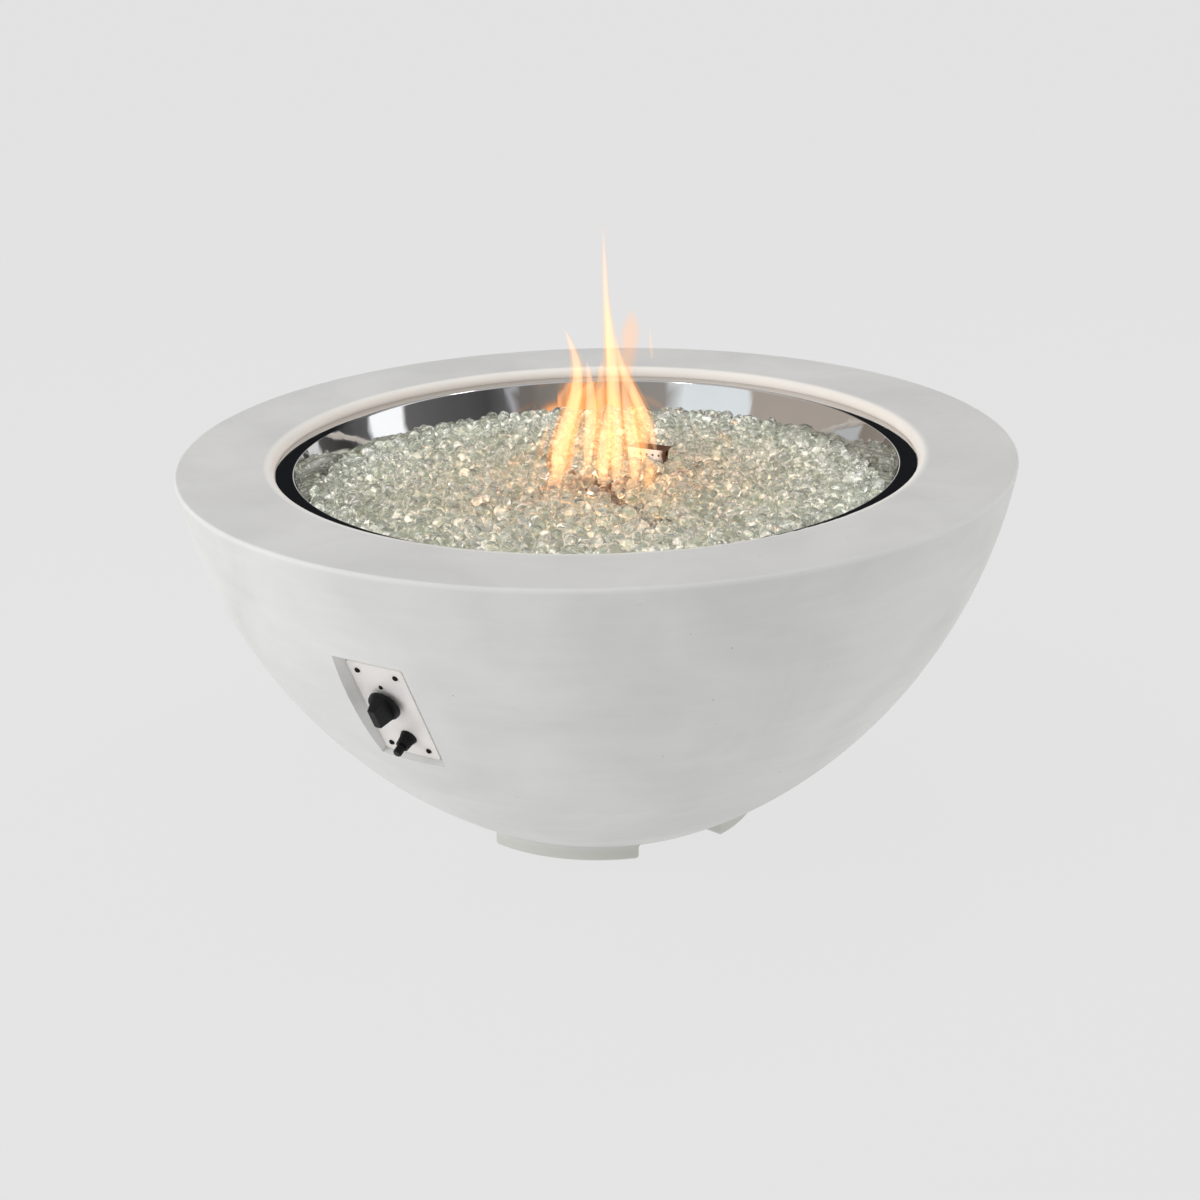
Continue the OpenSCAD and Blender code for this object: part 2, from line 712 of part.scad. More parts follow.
module gas_hose() {
    color([0.72, 0.72, 0.70])
    ribbed_tube(hose_line, hose_r, hose_r - 1.1, hose_bore_r - 0.2, 5);
}

module igniter_body() {
    color([0.06, 0.06, 0.06])
    at_igniter() difference() {
        union() {
            cylinder(r1 = bezel_r, r2 = bezel_r - 1.4, h = bezel_h);
            translate([0, 0, bezel_h - 0.01])
                cylinder(r1 = collar_r + 1.1, r2 = collar_r, h = collar_h - bezel_h + 0.01);
            translate([0, 0, -20]) cylinder(r = shank_r, h = 20.01);
            translate([0, 0, igniter_back_n]) cylinder(r = igniter_core_r, h = -igniter_back_n);
            translate([0, 0, igniter_back_n - 7]) cylinder(r = 2.4, h = 7.01);
        }
        translate([0, 0, button_in_n - button_spring_l]) cylinder(r = button_hole_r, h = 60);
        for (k = [0 : 13]) rotate([0, 0, 360 * k / 14])
            translate([collar_r + 0.9, 0, bezel_h + 1]) cylinder(r = 1, h = collar_h, $fn = 16);
        translate([0, 0, igniter_back_n - 8]) cylinder(r = lead_r + fit, h = 7);
    }
}

module igniter_nut() {
    color([0.30, 0.30, 0.31])
    at_igniter() translate([0, 0, -panel_t - 5]) hex_tube(shank_r + 5.5, shank_r + slip, 5);
}

module igniter_button() {
    color([0.08, 0.08, 0.08])
    at_igniter() difference() {
        union() {
            translate([0, 0, button_in_n]) cylinder(r = button_r, h = collar_h - button_in_n + button_show - 1.5);
            translate([0, 0, collar_h + button_show - 1.51]) cylinder(r1 = button_r, r2 = button_r - 1.2, h = 1.51);
        }
        for (k = [0 : 9]) rotate([0, 0, 36 * k])
            translate([button_r + 0.2, 0, collar_h + 1.5]) cylinder(r = 0.75, h = button_show, $fn = 16);
    }
}

button_coil = coil(button_r - 1.2, button_spring_l - 1.4 - seat, 5, 8);
echo(button_spring_gap = self_gap(button_coil, spring_wire_r, 6));
module button_spring() {
    color([0.55, 0.55, 0.55])
    at_igniter() translate([0, 0, button_in_n - button_spring_l + 0.7]) rod(button_coil, spring_wire_r, 6);
}

// Line of the spark lead: back from the igniter, across under the pan, up to the pilot
spark_from = on_panel(igniter_x, -igniter_y, igniter_back_n - 2);
spark_to = at_pilot(-probe_x, 0, lead_start_z + 4);
spark_line = smooth([
    spark_from, on_panel(igniter_x, -igniter_y, igniter_back_n - 10),
    on_panel(igniter_x, -igniter_y, igniter_back_n - 18),
    [-30, panel_y + 130, panel_z + 10], [-62, -150, pan_under_z - 70], [-64, 20, pan_under_z - 58],
    spark_to - [10, 30, 46], spark_to - [0, 0, 22], spark_to - [0, 0, 11], spark_to], 6);

module igniter_lead() {
    color([0.75, 0.25, 0.16])
    rod(spark_line, lead_r);
}

module burner_hub() {
    color([0.36, 0.24, 0.15])
    difference() {
        union() {
            translate([0, 0, hub_low_z]) cylinder(r = hub_r, h = hub_h);
            translate([0, 0, pan_floor_z + gasket_t]) cylinder(r = 17, h = hub_low_z - pan_floor_z);
        }
        translate([0, 0, hub_low_z + 5 - cut]) cylinder(r = arm_in - 1, h = hub_h - 8);
        translate([0, 0, pan_floor_z]) cylinder(r = nipple_r + fit, h = hub_low_z + 5 - pan_floor_z);
        each_arm() translate([0, -arm_in, arm_z]) rotate([90, 0, 0]) cylinder(r = arm_r + slip, h = 40);
        each_arm() translate([0, -arm_in + 4, arm_z]) rotate([90, 0, 0])
            cylinder(r = arm_r - arm_t - 1, h = 4 + cut);
    }
}

module burner_arms() {
    color([0.40, 0.26, 0.16])
    each_arm() difference() {
        translate([0, -arm_in - 0.2, arm_z]) rotate([90, 0, 0]) tube(arm_r, arm_r - arm_t, arm_l - arm_in - 3);
        for (k = [1 : port_count]) for (s = [-1, 1])
            translate([0, -hub_r - (arm_l - hub_r - 14) * k / port_count, arm_z]) rotate([0, s * 35, 0])
                cylinder(d = port_d, h = arm_d, $fn = 16);
    }
}

module arm_caps() {
    color([0.33, 0.22, 0.14])
    each_arm() translate([0, -arm_l + 8, arm_z]) rotate([90, 0, 0]) difference() {
        cylinder(r = arm_r + 1, h = 8);
        translate([0, 0, -cut]) cylinder(r = arm_r + slip, h = 6 + cut);
    }
}

module pan_gasket() {
    color([0.20, 0.20, 0.20])
    translate([0, 0, pan_floor_z]) tube(17, nipple_r + fit, gasket_t);
}

module burner_nipple() {
    color([0.55, 0.55, 0.54])
    translate([0, 0, nipple_low_z]) tube(nipple_r, nipple_bore_r, nipple_top_z - nipple_low_z - cut);
}

module pan_washer() {
    color([0.70, 0.70, 0.69])
    translate([0, 0, pan_under_z - 2]) tube(19, nipple_r + fit, 2);
}

module pan_locknut() {
    color([0.70, 0.70, 0.69])
    translate([0, 0, pan_under_z - 10]) hex_tube(18.5, nipple_r + fit, 8);
}

module air_mixer() {
    color([0.78, 0.78, 0.77])
    translate([0, 0, mixer_low_z]) difference() {
        cylinder(r = mixer_r, h = mixer_h);
        translate([0, 0, mixer_h - 12]) cylinder(r = nipple_r + fit, h = 20);
        translate([0, 0, 6]) cylinder(r = 9, h = mixer_h);
        translate([0, 0, -cut]) cylinder(r = 5 + fit, h = 10);
        for (a = [0, 90]) rotate([0, 0, 30 + a]) translate([0, -30, 17]) rotate([-90, 0, 0]) cylinder(r = 5.5, h = 60);
    }
}

module gas_orifice() {
    color([0.78, 0.62, 0.34])
    translate([0, 0, hose_end_z]) difference() {
        union() {
            cylinder(r = 11, h = orifice_hex_h, $fn = 6);
            cylinder(r = 5, h = orifice_hex_h + 12);
            translate([0, 0, -orifice_spigot_l]) cylinder(r = 7, h = orifice_spigot_l + 1);
        }
        translate([0, 0, -12]) cylinder(r = 3, h = orifice_hex_h + 20);
        translate([0, 0, orifice_hex_h + 10]) cylinder(r = 0.9, h = 10);
    }
}

module orifice_nut() {
    color([0.78, 0.62, 0.34])
    translate([0, 0, hose_end_z - 1 - orifice_nut_h]) difference() {
        cylinder(r = 11.5, h = orifice_nut_h, $fn = 6);
        translate([0, 0, -cut]) cylinder(r = hose_socket_r, h = 40);
        translate([0, 0, orifice_nut_h + 1 - orifice_spigot_l - seat]) cylinder(r = 7 + fit, h = 20);
    }
}

module pilot_bracket() {
    y = -hood_w / 2 - hood_t - bracket_t - 0.1;
    color([0.60, 0.58, 0.55])
    in_pilot() difference() {
        union() {
            translate([-bracket_x / 2 - 6, y - 10, pan_floor_z]) cube([bracket_x + 12, 10 + bracket_t, bracket_t]);
            translate([-bracket_x / 2, y, pan_floor_z]) cube([bracket_x, bracket_t, hood_top_z - 4 - pan_floor_z]);
        }
        for (x = [-1, 1]) translate([x * bracket_x / 2, -hood_w / 2 - 7, pan_floor_z - cut])
            cylinder(r = 2 + fit, h = bracket_t + 2 * cut);
        for (x = [-1, 1]) translate([x * bracket_x / 4, y - cut, hood_top_z - 9]) rotate([-90, 0, 0])
            cylinder(r = 1.5 + fit, h = 5);
    }
}

module pilot_hood() {
    color([0.70, 0.68, 0.64])
    in_pilot() translate([0, 0, hood_top_z]) difference() {
        translate([-hood_l / 2, -hood_w / 2 - hood_t, -hood_skirt])
            cube([hood_l, hood_w + 2 * hood_t, hood_skirt]);
        translate([-hood_l / 2 - cut, -hood_w / 2, -hood_skirt - cut])
            cube([hood_l + 2 * cut, hood_w, hood_skirt + cut - hood_t]);
        for (x = [-1, 1]) translate([x * bracket_x / 4, -hood_w / 2 - hood_t - cut, -9]) rotate([-90, 0, 0])
            cylinder(r = 1.5 + fit, h = 2 + hood_t);
        for (x = [-2 : 2]) translate([x * 9, hood_w / 2 - cut, -7]) rotate([-90, 0, 0])
            cylinder(r = 1.7, h = 2 + hood_t);
    }
}

module hood_screws() {
    y = -hood_w / 2 - hood_t - bracket_t - 0.1;
    color([0.55, 0.55, 0.54])
    in_pilot() for (x = [-1, 1]) translate([x * bracket_x / 4, y, hood_top_z - 9]) rotate([90, 0, 0])
        head_screw(1.5, 2.8, 1.8, 5);
}

module bracket_screws() {
    color([0.55, 0.55, 0.54])
    in_pilot() for (x = [-1, 1])
        translate([x * bracket_x / 2, -hood_w / 2 - 7, pan_floor_z + bracket_t]) head_screw(2, 3.6, 2.2, 7);
}

module spark_insulator() {
    color([0.92, 0.90, 0.86])
    in_pilot() translate([-probe_x, 0, lead_start_z]) {
        difference() {
            cylinder(r = insulator_r, h = hood_top_z - 12 - lead_start_z);
            translate([0, 0, -cut]) cylinder(r = lead_r + fit, h = 6);
            translate([0, 0, 7]) cylinder(r = 1 + slip, h = 100);
        }
    }
}

module spark_electrode() {
    color([0.62, 0.60, 0.58])
    in_pilot() translate([-probe_x, 0, lead_start_z + 7])
        cylinder(r = 1, h = hood_top_z - 5 - lead_start_z - 7);
}

module thermocouple() {
    color([0.66, 0.55, 0.45])
    in_pilot() translate([probe_x, 0, lead_start_z]) difference() {
        union() {
            cylinder(r = probe_r, h = hood_top_z - 14 - lead_start_z);
            translate([0, 0, hood_top_z - 14.01 - lead_start_z]) cylinder(r1 = probe_r, r2 = 1.4, h = 8);
        }
        translate([0, 0, -cut]) cylinder(r = lead_r + fit, h = 7);
    }
}

// Line of the thermocouple lead: from the probe, across under the pan, to the magnet unit
tc_from = at_pilot(probe_x, 0, lead_start_z + 4);
tc_end_n = valve_end_n - magnet_l - 6;
tc_to = on_panel(knob_x, knob_y, tc_end_n + 4);
tc_line = smooth([
    tc_from, tc_from - [0, 0, 11], tc_from - [0, 0, 22], tc_from - [20, 30, 44], [-34, 30, pan_under_z - 44],
    [-30, -140, pan_under_z - 44], [-12, panel_y + 160, pan_under_z - 38],
    on_panel(knob_x, knob_y, tc_end_n - 24), on_panel(knob_x, knob_y, tc_end_n - 10), tc_to], 6);

module thermocouple_nut() {
    color([0.78, 0.62, 0.34])
    at_knob() translate([0, 0, tc_end_n]) difference() {
        union() {
            cylinder(r = 6, h = 5.8, $fn = 6);
            cylinder(r = 4.1, h = 12);
        }
        translate([0, 0, -cut]) cylinder(r = lead_r + fit, h = 8);
    }
}

module thermocouple_lead() {
    color([0.72, 0.45, 0.30])
    rod(tc_line, lead_r);
}

// Packed glass: fills the pan round the burner and the pilot, lowest at the wall
module glass_bed() {
    c = pan_corner_r;
    color([0.72, 0.80, 0.77])
    difference() {
        rotate_extrude($fn = 180) polygon(concat(
            [[0, pan_floor_z + seat], [pan_floor_r - c, pan_floor_z + seat]],
            [for (k = [1 : 5]) let (a = 90 - 90 * k / 6)
                [pan_floor_r - c + (c - glass_gap) * cos(a), pan_floor_z + c - (c - glass_gap) * sin(a)]],
            [[pan_floor_r - glass_gap, pan_floor_z + c], [glass_r, glass_z], [0, glass_z + glass_rise]]));
        translate([0, 0, pan_floor_z - cut]) cylinder(r = hub_r + seat, h = 80);
        each_arm() {
            translate([0, 0, arm_z]) rotate([90, 0, 0]) cylinder(r = arm_r + 1 + seat, h = arm_l + seat);
            translate([-arm_r - 1 - seat, -arm_l - seat, arm_z]) cube([2 * (arm_r + 1 + seat), arm_l, 60]);
        }
        in_pilot() translate([-hood_l / 2 - 2, -hood_w / 2 - 20, pan_floor_z - cut])
            cube([hood_l + 4, hood_w + 20 + 4, 80]);
    }
}

// Loose gems on top, spread by equal areas along a spiral, each resting on the packed glass
module glass_gems() {
    g = gem_d / 2;
    slope = atan2(glass_rise, glass_r);
    out = glass_r - gem_d - 4;
    color([0.80, 0.87, 0.84])
    for (k = [8 : gem_count + 7]) let (
        d = out * sqrt(k / (gem_count + 8)), a = k * 137.508, p = [d * cos(a), d * sin(a)])
        if (clear_of_burner(p, g)) translate([p[0], p[1],
            glass_z + glass_rise * (1 - d / glass_r) + g / cos(slope) + 0.1]) sphere(r = g, $fn = 32);
}

// True where a gem lies clear of the arms, the hub and the pilot
function clear_of_burner(p, g) =
    let (q = [for (a = [arm_turn, arm_turn + 90])
                 abs(p[0] * cos(a) + p[1] * sin(a))],
         w = [p[0] * cos(pilot_turn) + p[1] * sin(pilot_turn),
              -p[0] * sin(pilot_turn) + p[1] * cos(pilot_turn) + pilot_r])
    (norm(p) > arm_l + g + 6 || min(q) > arm_r + g + 3) && norm(p) > hub_r + g + 2
    && !(abs(w[0]) < hood_l / 2 + g + 4 && w[1] > -hood_w / 2 - 22 - g && w[1] < hood_w / 2 + 6 + g);

bowl_shell();
panel_inserts();
burner_pan();
control_panel();
panel_screws();
gas_valve();
valve_screws();
valve_plunger();
plunger_spring();
valve_stem();
gas_knob();
magnet_unit();
inlet_fitting();
outlet_nut();
gas_hose();
igniter_body();
igniter_nut();
igniter_button();
button_spring();
igniter_lead();
burner_hub();
burner_arms();
arm_caps();
pan_gasket();
burner_nipple();
pan_washer();
pan_locknut();
air_mixer();
gas_orifice();
orifice_nut();
pilot_bracket();
pilot_hood();
hood_screws();
bracket_screws();
spark_insulator();
spark_electrode();
thermocouple();
thermocouple_nut();
thermocouple_lead();
glass_bed();
glass_gems();
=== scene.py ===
"""Looks of a cast concrete gas fire pit bowl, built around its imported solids.

Metres, +Z up, the floor at Z = 0. The control panel faces -Y. The photograph was
taken from a point that lies about a third of a right angle round from the panel.
"""

import json
import logging
import math
from dataclasses import dataclass
from enum import Enum

import bmesh
import bpy
from bpy.types import Material, Mesh, Node, NodeSocket, NodeTree, Object
from mathutils import Matrix, Vector

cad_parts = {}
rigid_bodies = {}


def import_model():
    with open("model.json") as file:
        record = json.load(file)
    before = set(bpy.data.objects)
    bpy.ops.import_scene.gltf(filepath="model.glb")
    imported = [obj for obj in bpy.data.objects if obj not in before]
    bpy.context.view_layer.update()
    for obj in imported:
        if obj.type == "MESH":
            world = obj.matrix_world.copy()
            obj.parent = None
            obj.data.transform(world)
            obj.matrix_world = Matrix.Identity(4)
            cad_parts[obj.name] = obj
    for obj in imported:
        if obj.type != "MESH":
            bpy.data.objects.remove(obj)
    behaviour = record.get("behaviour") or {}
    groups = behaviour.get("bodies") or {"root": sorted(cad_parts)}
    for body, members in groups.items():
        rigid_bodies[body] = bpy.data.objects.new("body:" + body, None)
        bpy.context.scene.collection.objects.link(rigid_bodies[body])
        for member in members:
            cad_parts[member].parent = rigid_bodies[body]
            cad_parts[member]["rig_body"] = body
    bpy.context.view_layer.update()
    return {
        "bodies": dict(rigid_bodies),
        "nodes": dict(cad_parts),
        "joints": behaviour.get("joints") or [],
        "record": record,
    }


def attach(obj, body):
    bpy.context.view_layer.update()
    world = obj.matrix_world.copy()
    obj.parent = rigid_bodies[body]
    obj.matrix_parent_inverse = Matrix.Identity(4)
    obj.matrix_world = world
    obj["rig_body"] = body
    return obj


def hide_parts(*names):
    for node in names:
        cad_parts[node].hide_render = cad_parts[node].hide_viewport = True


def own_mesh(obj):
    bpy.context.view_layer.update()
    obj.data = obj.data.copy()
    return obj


LOG = logging.getLogger("fire_pit")
MM = 0.001
# The body that everything rides on that stands still.
PIT = "fire_pit"
# Turn from the panel's side of the bowl to the photograph's.
PHOTO_DEG = 32.54
# The pilot's turn from the panel and its distance from the bowl's axis.
PILOT_DEG = 184.0
PILOT_R_MM = 155.0
# An edge that turns by more than the first angle is rounded, by more than the second is shaded sharp.
SHARP_DEG = 28.0
CREASE_DEG = 40.0
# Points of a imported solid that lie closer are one, and faces that turn by less are one.
MERGE_MM = 0.002
FLAT_DEG = 0.6
# Way to the first side of a swept tube. No tube here starts along it.
FIRST_SIDE = (0.31, 0.17, 0.93)


class Band(Enum):
    """How the grain of a worked surface lies: its fineness along x, y and z."""

    NONE = (1.0, 1.0, 1.0)
    ACROSS = (0.06, 1.0, 1.0)
    ROUND = (1.0, 1.0, 8.0)


def linear(colour: str) -> tuple[float, float, float, float]:
    """Turn an sRGB hex colour into linear light.

    Args:
        colour: Six hex digits after a hash sign.

    Returns:
        Linear red, green, blue and an alpha of one.
    """
    parts = [int(colour[i : i + 2], 16) / 255 for i in (1, 3, 5)]
    flat = [p / 12.92 if p <= 0.04045 else ((p + 0.055) / 1.055) ** 2.4 for p in parts]
    return (flat[0], flat[1], flat[2], 1.0)


def add(tree: NodeTree, kind: str, inputs: dict | None = None, **settings) -> Node:
    """Add a node with its settings, values and links.

    Args:
        tree: Node tree that gets the node.
        kind: Blender's name for the kind of node.
        inputs: Value, or socket or node to link from, for each input name or number. A node
            stands for the first of its outputs that is in use.
        **settings: Properties of the node itself.

    Returns:
        The new node.
    """
    made = tree.nodes.new(kind)
    for name, value in settings.items():
        setattr(made, name, value)
    for key, value in (inputs or {}).items():
        if isinstance(value, Node):
            value = next(output for output in value.outputs if output.enabled)
        if isinstance(value, NodeSocket):
            tree.links.new(value, made.inputs[key])
        else:
            made.inputs[key].default_value = value
    return made


def blank(name: str) -> tuple[Material, NodeTree]:
    """Start a material with an empty node tree.

    Args:
        name: Name of the material.

    Returns:
        The material and its tree.
    """
    made = bpy.data.materials.new(name)
    made.use_nodes = True
    made.node_tree.nodes.clear()
    return made, made.node_tree


def from_axis(tree: NodeTree, place: NodeSocket) -> Node:
    """Measure how far a point of a surface lies from the bowl's axis.

    Args:
        tree: The material's node tree.
        place: Object coordinates.

    Returns:
        A node that gives the distance in metres.
    """
    flat = add(tree, "ShaderNodeVectorMath", {0: place, 1: (1.0, 1.0, 0.0)}, operation="MULTIPLY")
    return add(tree, "ShaderNodeVectorMath", {0: flat}, operation="LENGTH")


@dataclass(frozen=True)
class Finish:
    """A worked surface: two close colours in patches, a fine grain and a sheen.

    Attributes:
        name: What it is made of and how.
        base: Main colour, sRGB hex.
        shade: Colour of the patches, sRGB hex.
        roughness: Mean roughness.
        metallic: One for bare metal, else zero.
        patch_mm: Width of a colour patch.
        grain_mm: Width of the surface grain.
        depth_mm: Height of the grain.
        lay: How the grain lies.
        spread: How much the roughness varies.
        gloss: Strength of the surface reflection of what isn't metal.
        slot: The record's material slot that it answers to; not used.
    """

    name: str
    base: str
    shade: str
    roughness: float
    metallic: float = 0.0
    patch_mm: float = 12.0
    grain_mm: float = 1.2
    depth_mm: float = 0.02
    lay: Band = Band.NONE
    spread: float = 0.10
    gloss: float = 0.5
    slot: str = ""

    def material(self) -> Material:
        """Make the material, or find it if it is made already."""
        found = bpy.data.materials.get(self.name)
        if found:
            return found
        made, tree = blank(self.name)
        plain = {"Metallic": self.metallic, "Roughness": self.roughness, "Specular IOR Level": self.gloss}
        shader = add(tree, "ShaderNodeBsdfPrincipled", {**plain, **self.dress(tree)})
        add(tree, "ShaderNodeOutputMaterial", {"Surface": self.cover(tree, shader)})
        return made

    def dress(self, tree: NodeTree) -> dict[str, object]:
        """Make the patches, the grain and the uneven sheen.

        Args:
            tree: The material's node tree.

        Returns:
            What goes into the inputs of its Principled shader.
        """
        place = add(tree, "ShaderNodeTexCoord").outputs["Object"]
        patch = {"Vector": place, "Scale": 1 / (self.patch_mm * MM), "Detail": 3.0, "Roughness": 0.6}
        patches = add(tree, "ShaderNodeTexNoise", patch)
        tones = {0: patches, 6: linear(self.base), 7: linear(self.shade)}
        colour = add(tree, "ShaderNodeMix", tones, data_type="RGBA")
        turned = add(tree, "ShaderNodeMapping", {"Vector": place, "Scale": self.lay.value})
        fine = {"Vector": turned, "Scale": 1 / (self.grain_mm * MM), "Detail": 2.0}
        grain = add(tree, "ShaderNodeTexNoise", fine)
        reach = {
            "From Min": 0.3,
            "From Max": 0.7,
            "To Min": max(self.roughness - self.spread, 0.02),
            "To Max": min(self.roughness + self.spread, 1.0),
        }
        sheen = add(tree, "ShaderNodeMapRange", {"Value": grain, **reach})
        bump = add(tree, "ShaderNodeBump", {"Height": grain, "Distance": self.depth_mm * MM, "Strength": 1.0})
        return {"Base Color": colour, "Roughness": sheen, "Normal": bump}

    def cover(self, tree: NodeTree, shader: Node) -> Node:
        """Keep the shader as the surface; clear glass adds to it here."""
        return shader


@dataclass(frozen=True)
class CastConcrete(Finish):
    """Pale glass-fibre concrete, cast and rubbed down: soft clouds, wiped lines, a few small air holes.

    Attributes:
        lip: Colour of the lighter band round the pan's lip, sRGB hex.
        rim_highlight: Colour of the painted highlight along the rim's outer edge, sRGB hex.
        foot: Colour of the painted shadow on the feet, darker towards the floor, sRGB hex.
        hole_shade: Colour of the painted shade inside the air holes, sRGB hex.
        cloud_mm: Width of the soft clouds.
        wipe: Wiped lines in a metre along x, y and z.
        hole_mm: Usual distance between air holes.
        rim_r: Radius of the rim's outer edge.
        lip_r: Radius of the lip's middle.
        rim_z: Height of the rim.
    """

    lip: str = "#FFFEF8"
    # Painted highlight along the rim's outer edge.
    rim_highlight: str = "#F4F4F1"
    # Painted shadow on the feet, darker towards the floor.
    foot: str = "#CFCFC8"
    hole_shade: str = "#8F8E88"
    cloud_mm: float = 170.0
    wipe: tuple[float, float, float] = (9.0, 9.0, 75.0)
    hole_mm: float = 30.0
    rim_r: float = 0.5345
    lip_r: float = 0.4125
    rim_z: float = 0.489

    def dress(self, tree: NodeTree) -> dict[str, object]:
        """Make clouds, wiped lines, painted shadow on the feet, a painted rim highlight, the lip band and
        painted shade in air holes.

        Args:
            tree: The material's node tree.

        Returns:
            What goes into the inputs of its Principled shader.
        """
        place = add(tree, "ShaderNodeTexCoord").outputs["Object"]
        height = add(tree, "ShaderNodeSeparateXYZ", {0: place}).outputs[2]
        reach = from_axis(tree, place)
        cloud = {"Vector": place, "Scale": 1 / (self.cloud_mm * MM), "Detail": 4.0, "Distortion": 0.6}
        clouds = add(tree, "ShaderNodeTexNoise", cloud)
        wiped = add(tree, "ShaderNodeMapping", {"Vector": place, "Scale": self.wipe})
        lines = add(
            tree, "ShaderNodeTexNoise", {"Vector": wiped, "Scale": 1.0, "Detail": 5.0, "Roughness": 0.65}
        )
        faint = add(tree, "ShaderNodeMath", {0: lines, 1: 0.2}, operation="MULTIPLY")
        blend = add(tree, "ShaderNodeMath", {0: clouds, 1: 0.8, 2: faint}, operation="MULTIPLY_ADD")
        tone = add(tree, "ShaderNodeMapRange", {"Value": blend, "From Min": 0.36, "From Max": 0.64})
        tones = {0: tone, 6: linear(self.base), 7: linear(self.shade)}
        colour = add(tree, "ShaderNodeMix", tones, data_type="RGBA")
        # Painted shadow: the feet darken towards the floor.
        floor_shadow_band = {"From Min": 0.030, "From Max": 0.012, "To Max": 0.85}
        floor_shadow = add(tree, "ShaderNodeMapRange", {"Value": height, **floor_shadow_band})
        colour = add(tree, "ShaderNodeMix", {0: floor_shadow, 6: colour, 7: linear(self.foot)}, data_type="RGBA")
        # Painted highlight on the rim's outer edge; a lighter band round the lip.
        for radius, width, low, share, tint in (
            (self.rim_r, 0.0022, 0.007, 0.4, self.rim_highlight),
            (self.lip_r, 0.013, 0.016, 0.8, self.lip),
        ):
            upper = {"From Min": self.rim_z - low, "From Max": self.rim_z - 0.6 * low}
            top = add(tree, "ShaderNodeMapRange", {"Value": height, **upper})
            away = add(tree, "ShaderNodeMath", {0: reach, 1: radius}, operation="SUBTRACT")
            away = add(tree, "ShaderNodeMath", {0: away}, operation="ABSOLUTE")
            close = {"From Min": width, "From Max": width * 0.45, "To Max": share}
            near = add(tree, "ShaderNodeMapRange", {"Value": away, **close})
            mask = add(tree, "ShaderNodeMath", {0: near, 1: top}, operation="MULTIPLY")
            colour = add(tree, "ShaderNodeMix", {0: mask, 6: colour, 7: linear(tint)}, data_type="RGBA")
        cells = add(tree, "ShaderNodeTexVoronoi", {"Vector": place, "Scale": 1 / (self.hole_mm * MM)})
        pit = add(tree, "ShaderNodeMapRange", {"Value": cells, "From Min": 0.055, "From Max": 0.03})
        some = add(tree, "ShaderNodeSeparateColor", {0: cells.outputs["Color"]})
        some = add(tree, "ShaderNodeMath", {0: some, 1: 0.62}, operation="GREATER_THAN")
        pit = add(tree, "ShaderNodeMath", {0: pit, 1: some}, operation="MULTIPLY")
        # Painted shade inside the air holes.
        dim = add(tree, "ShaderNodeMath", {0: pit, 1: 0.35}, operation="MULTIPLY")
        colour = add(tree, "ShaderNodeMix", {0: dim, 6: colour, 7: linear(self.hole_shade)}, data_type="RGBA")
        sand = {"Vector": place, "Scale": 1 / (self.grain_mm * MM), "Detail": 4.0}
        grit = add(tree, "ShaderNodeTexNoise", sand)
        sunk = add(tree, "ShaderNodeMath", {0: pit, 1: -6.0, 2: grit}, operation="MULTIPLY_ADD")
        bump = add(tree, "ShaderNodeBump", {"Height": sunk, "Distance": self.depth_mm * MM, "Strength": 1.0})
        rubbed = {"From Min": 0.3, "From Max": 0.7, "To Min": 0.62, "To Max": 0.82}
        sheen = add(tree, "ShaderNodeMapRange", {"Value": lines, **rubbed})
        return {"Base Color": colour, "Roughness": sheen, "Normal": bump}


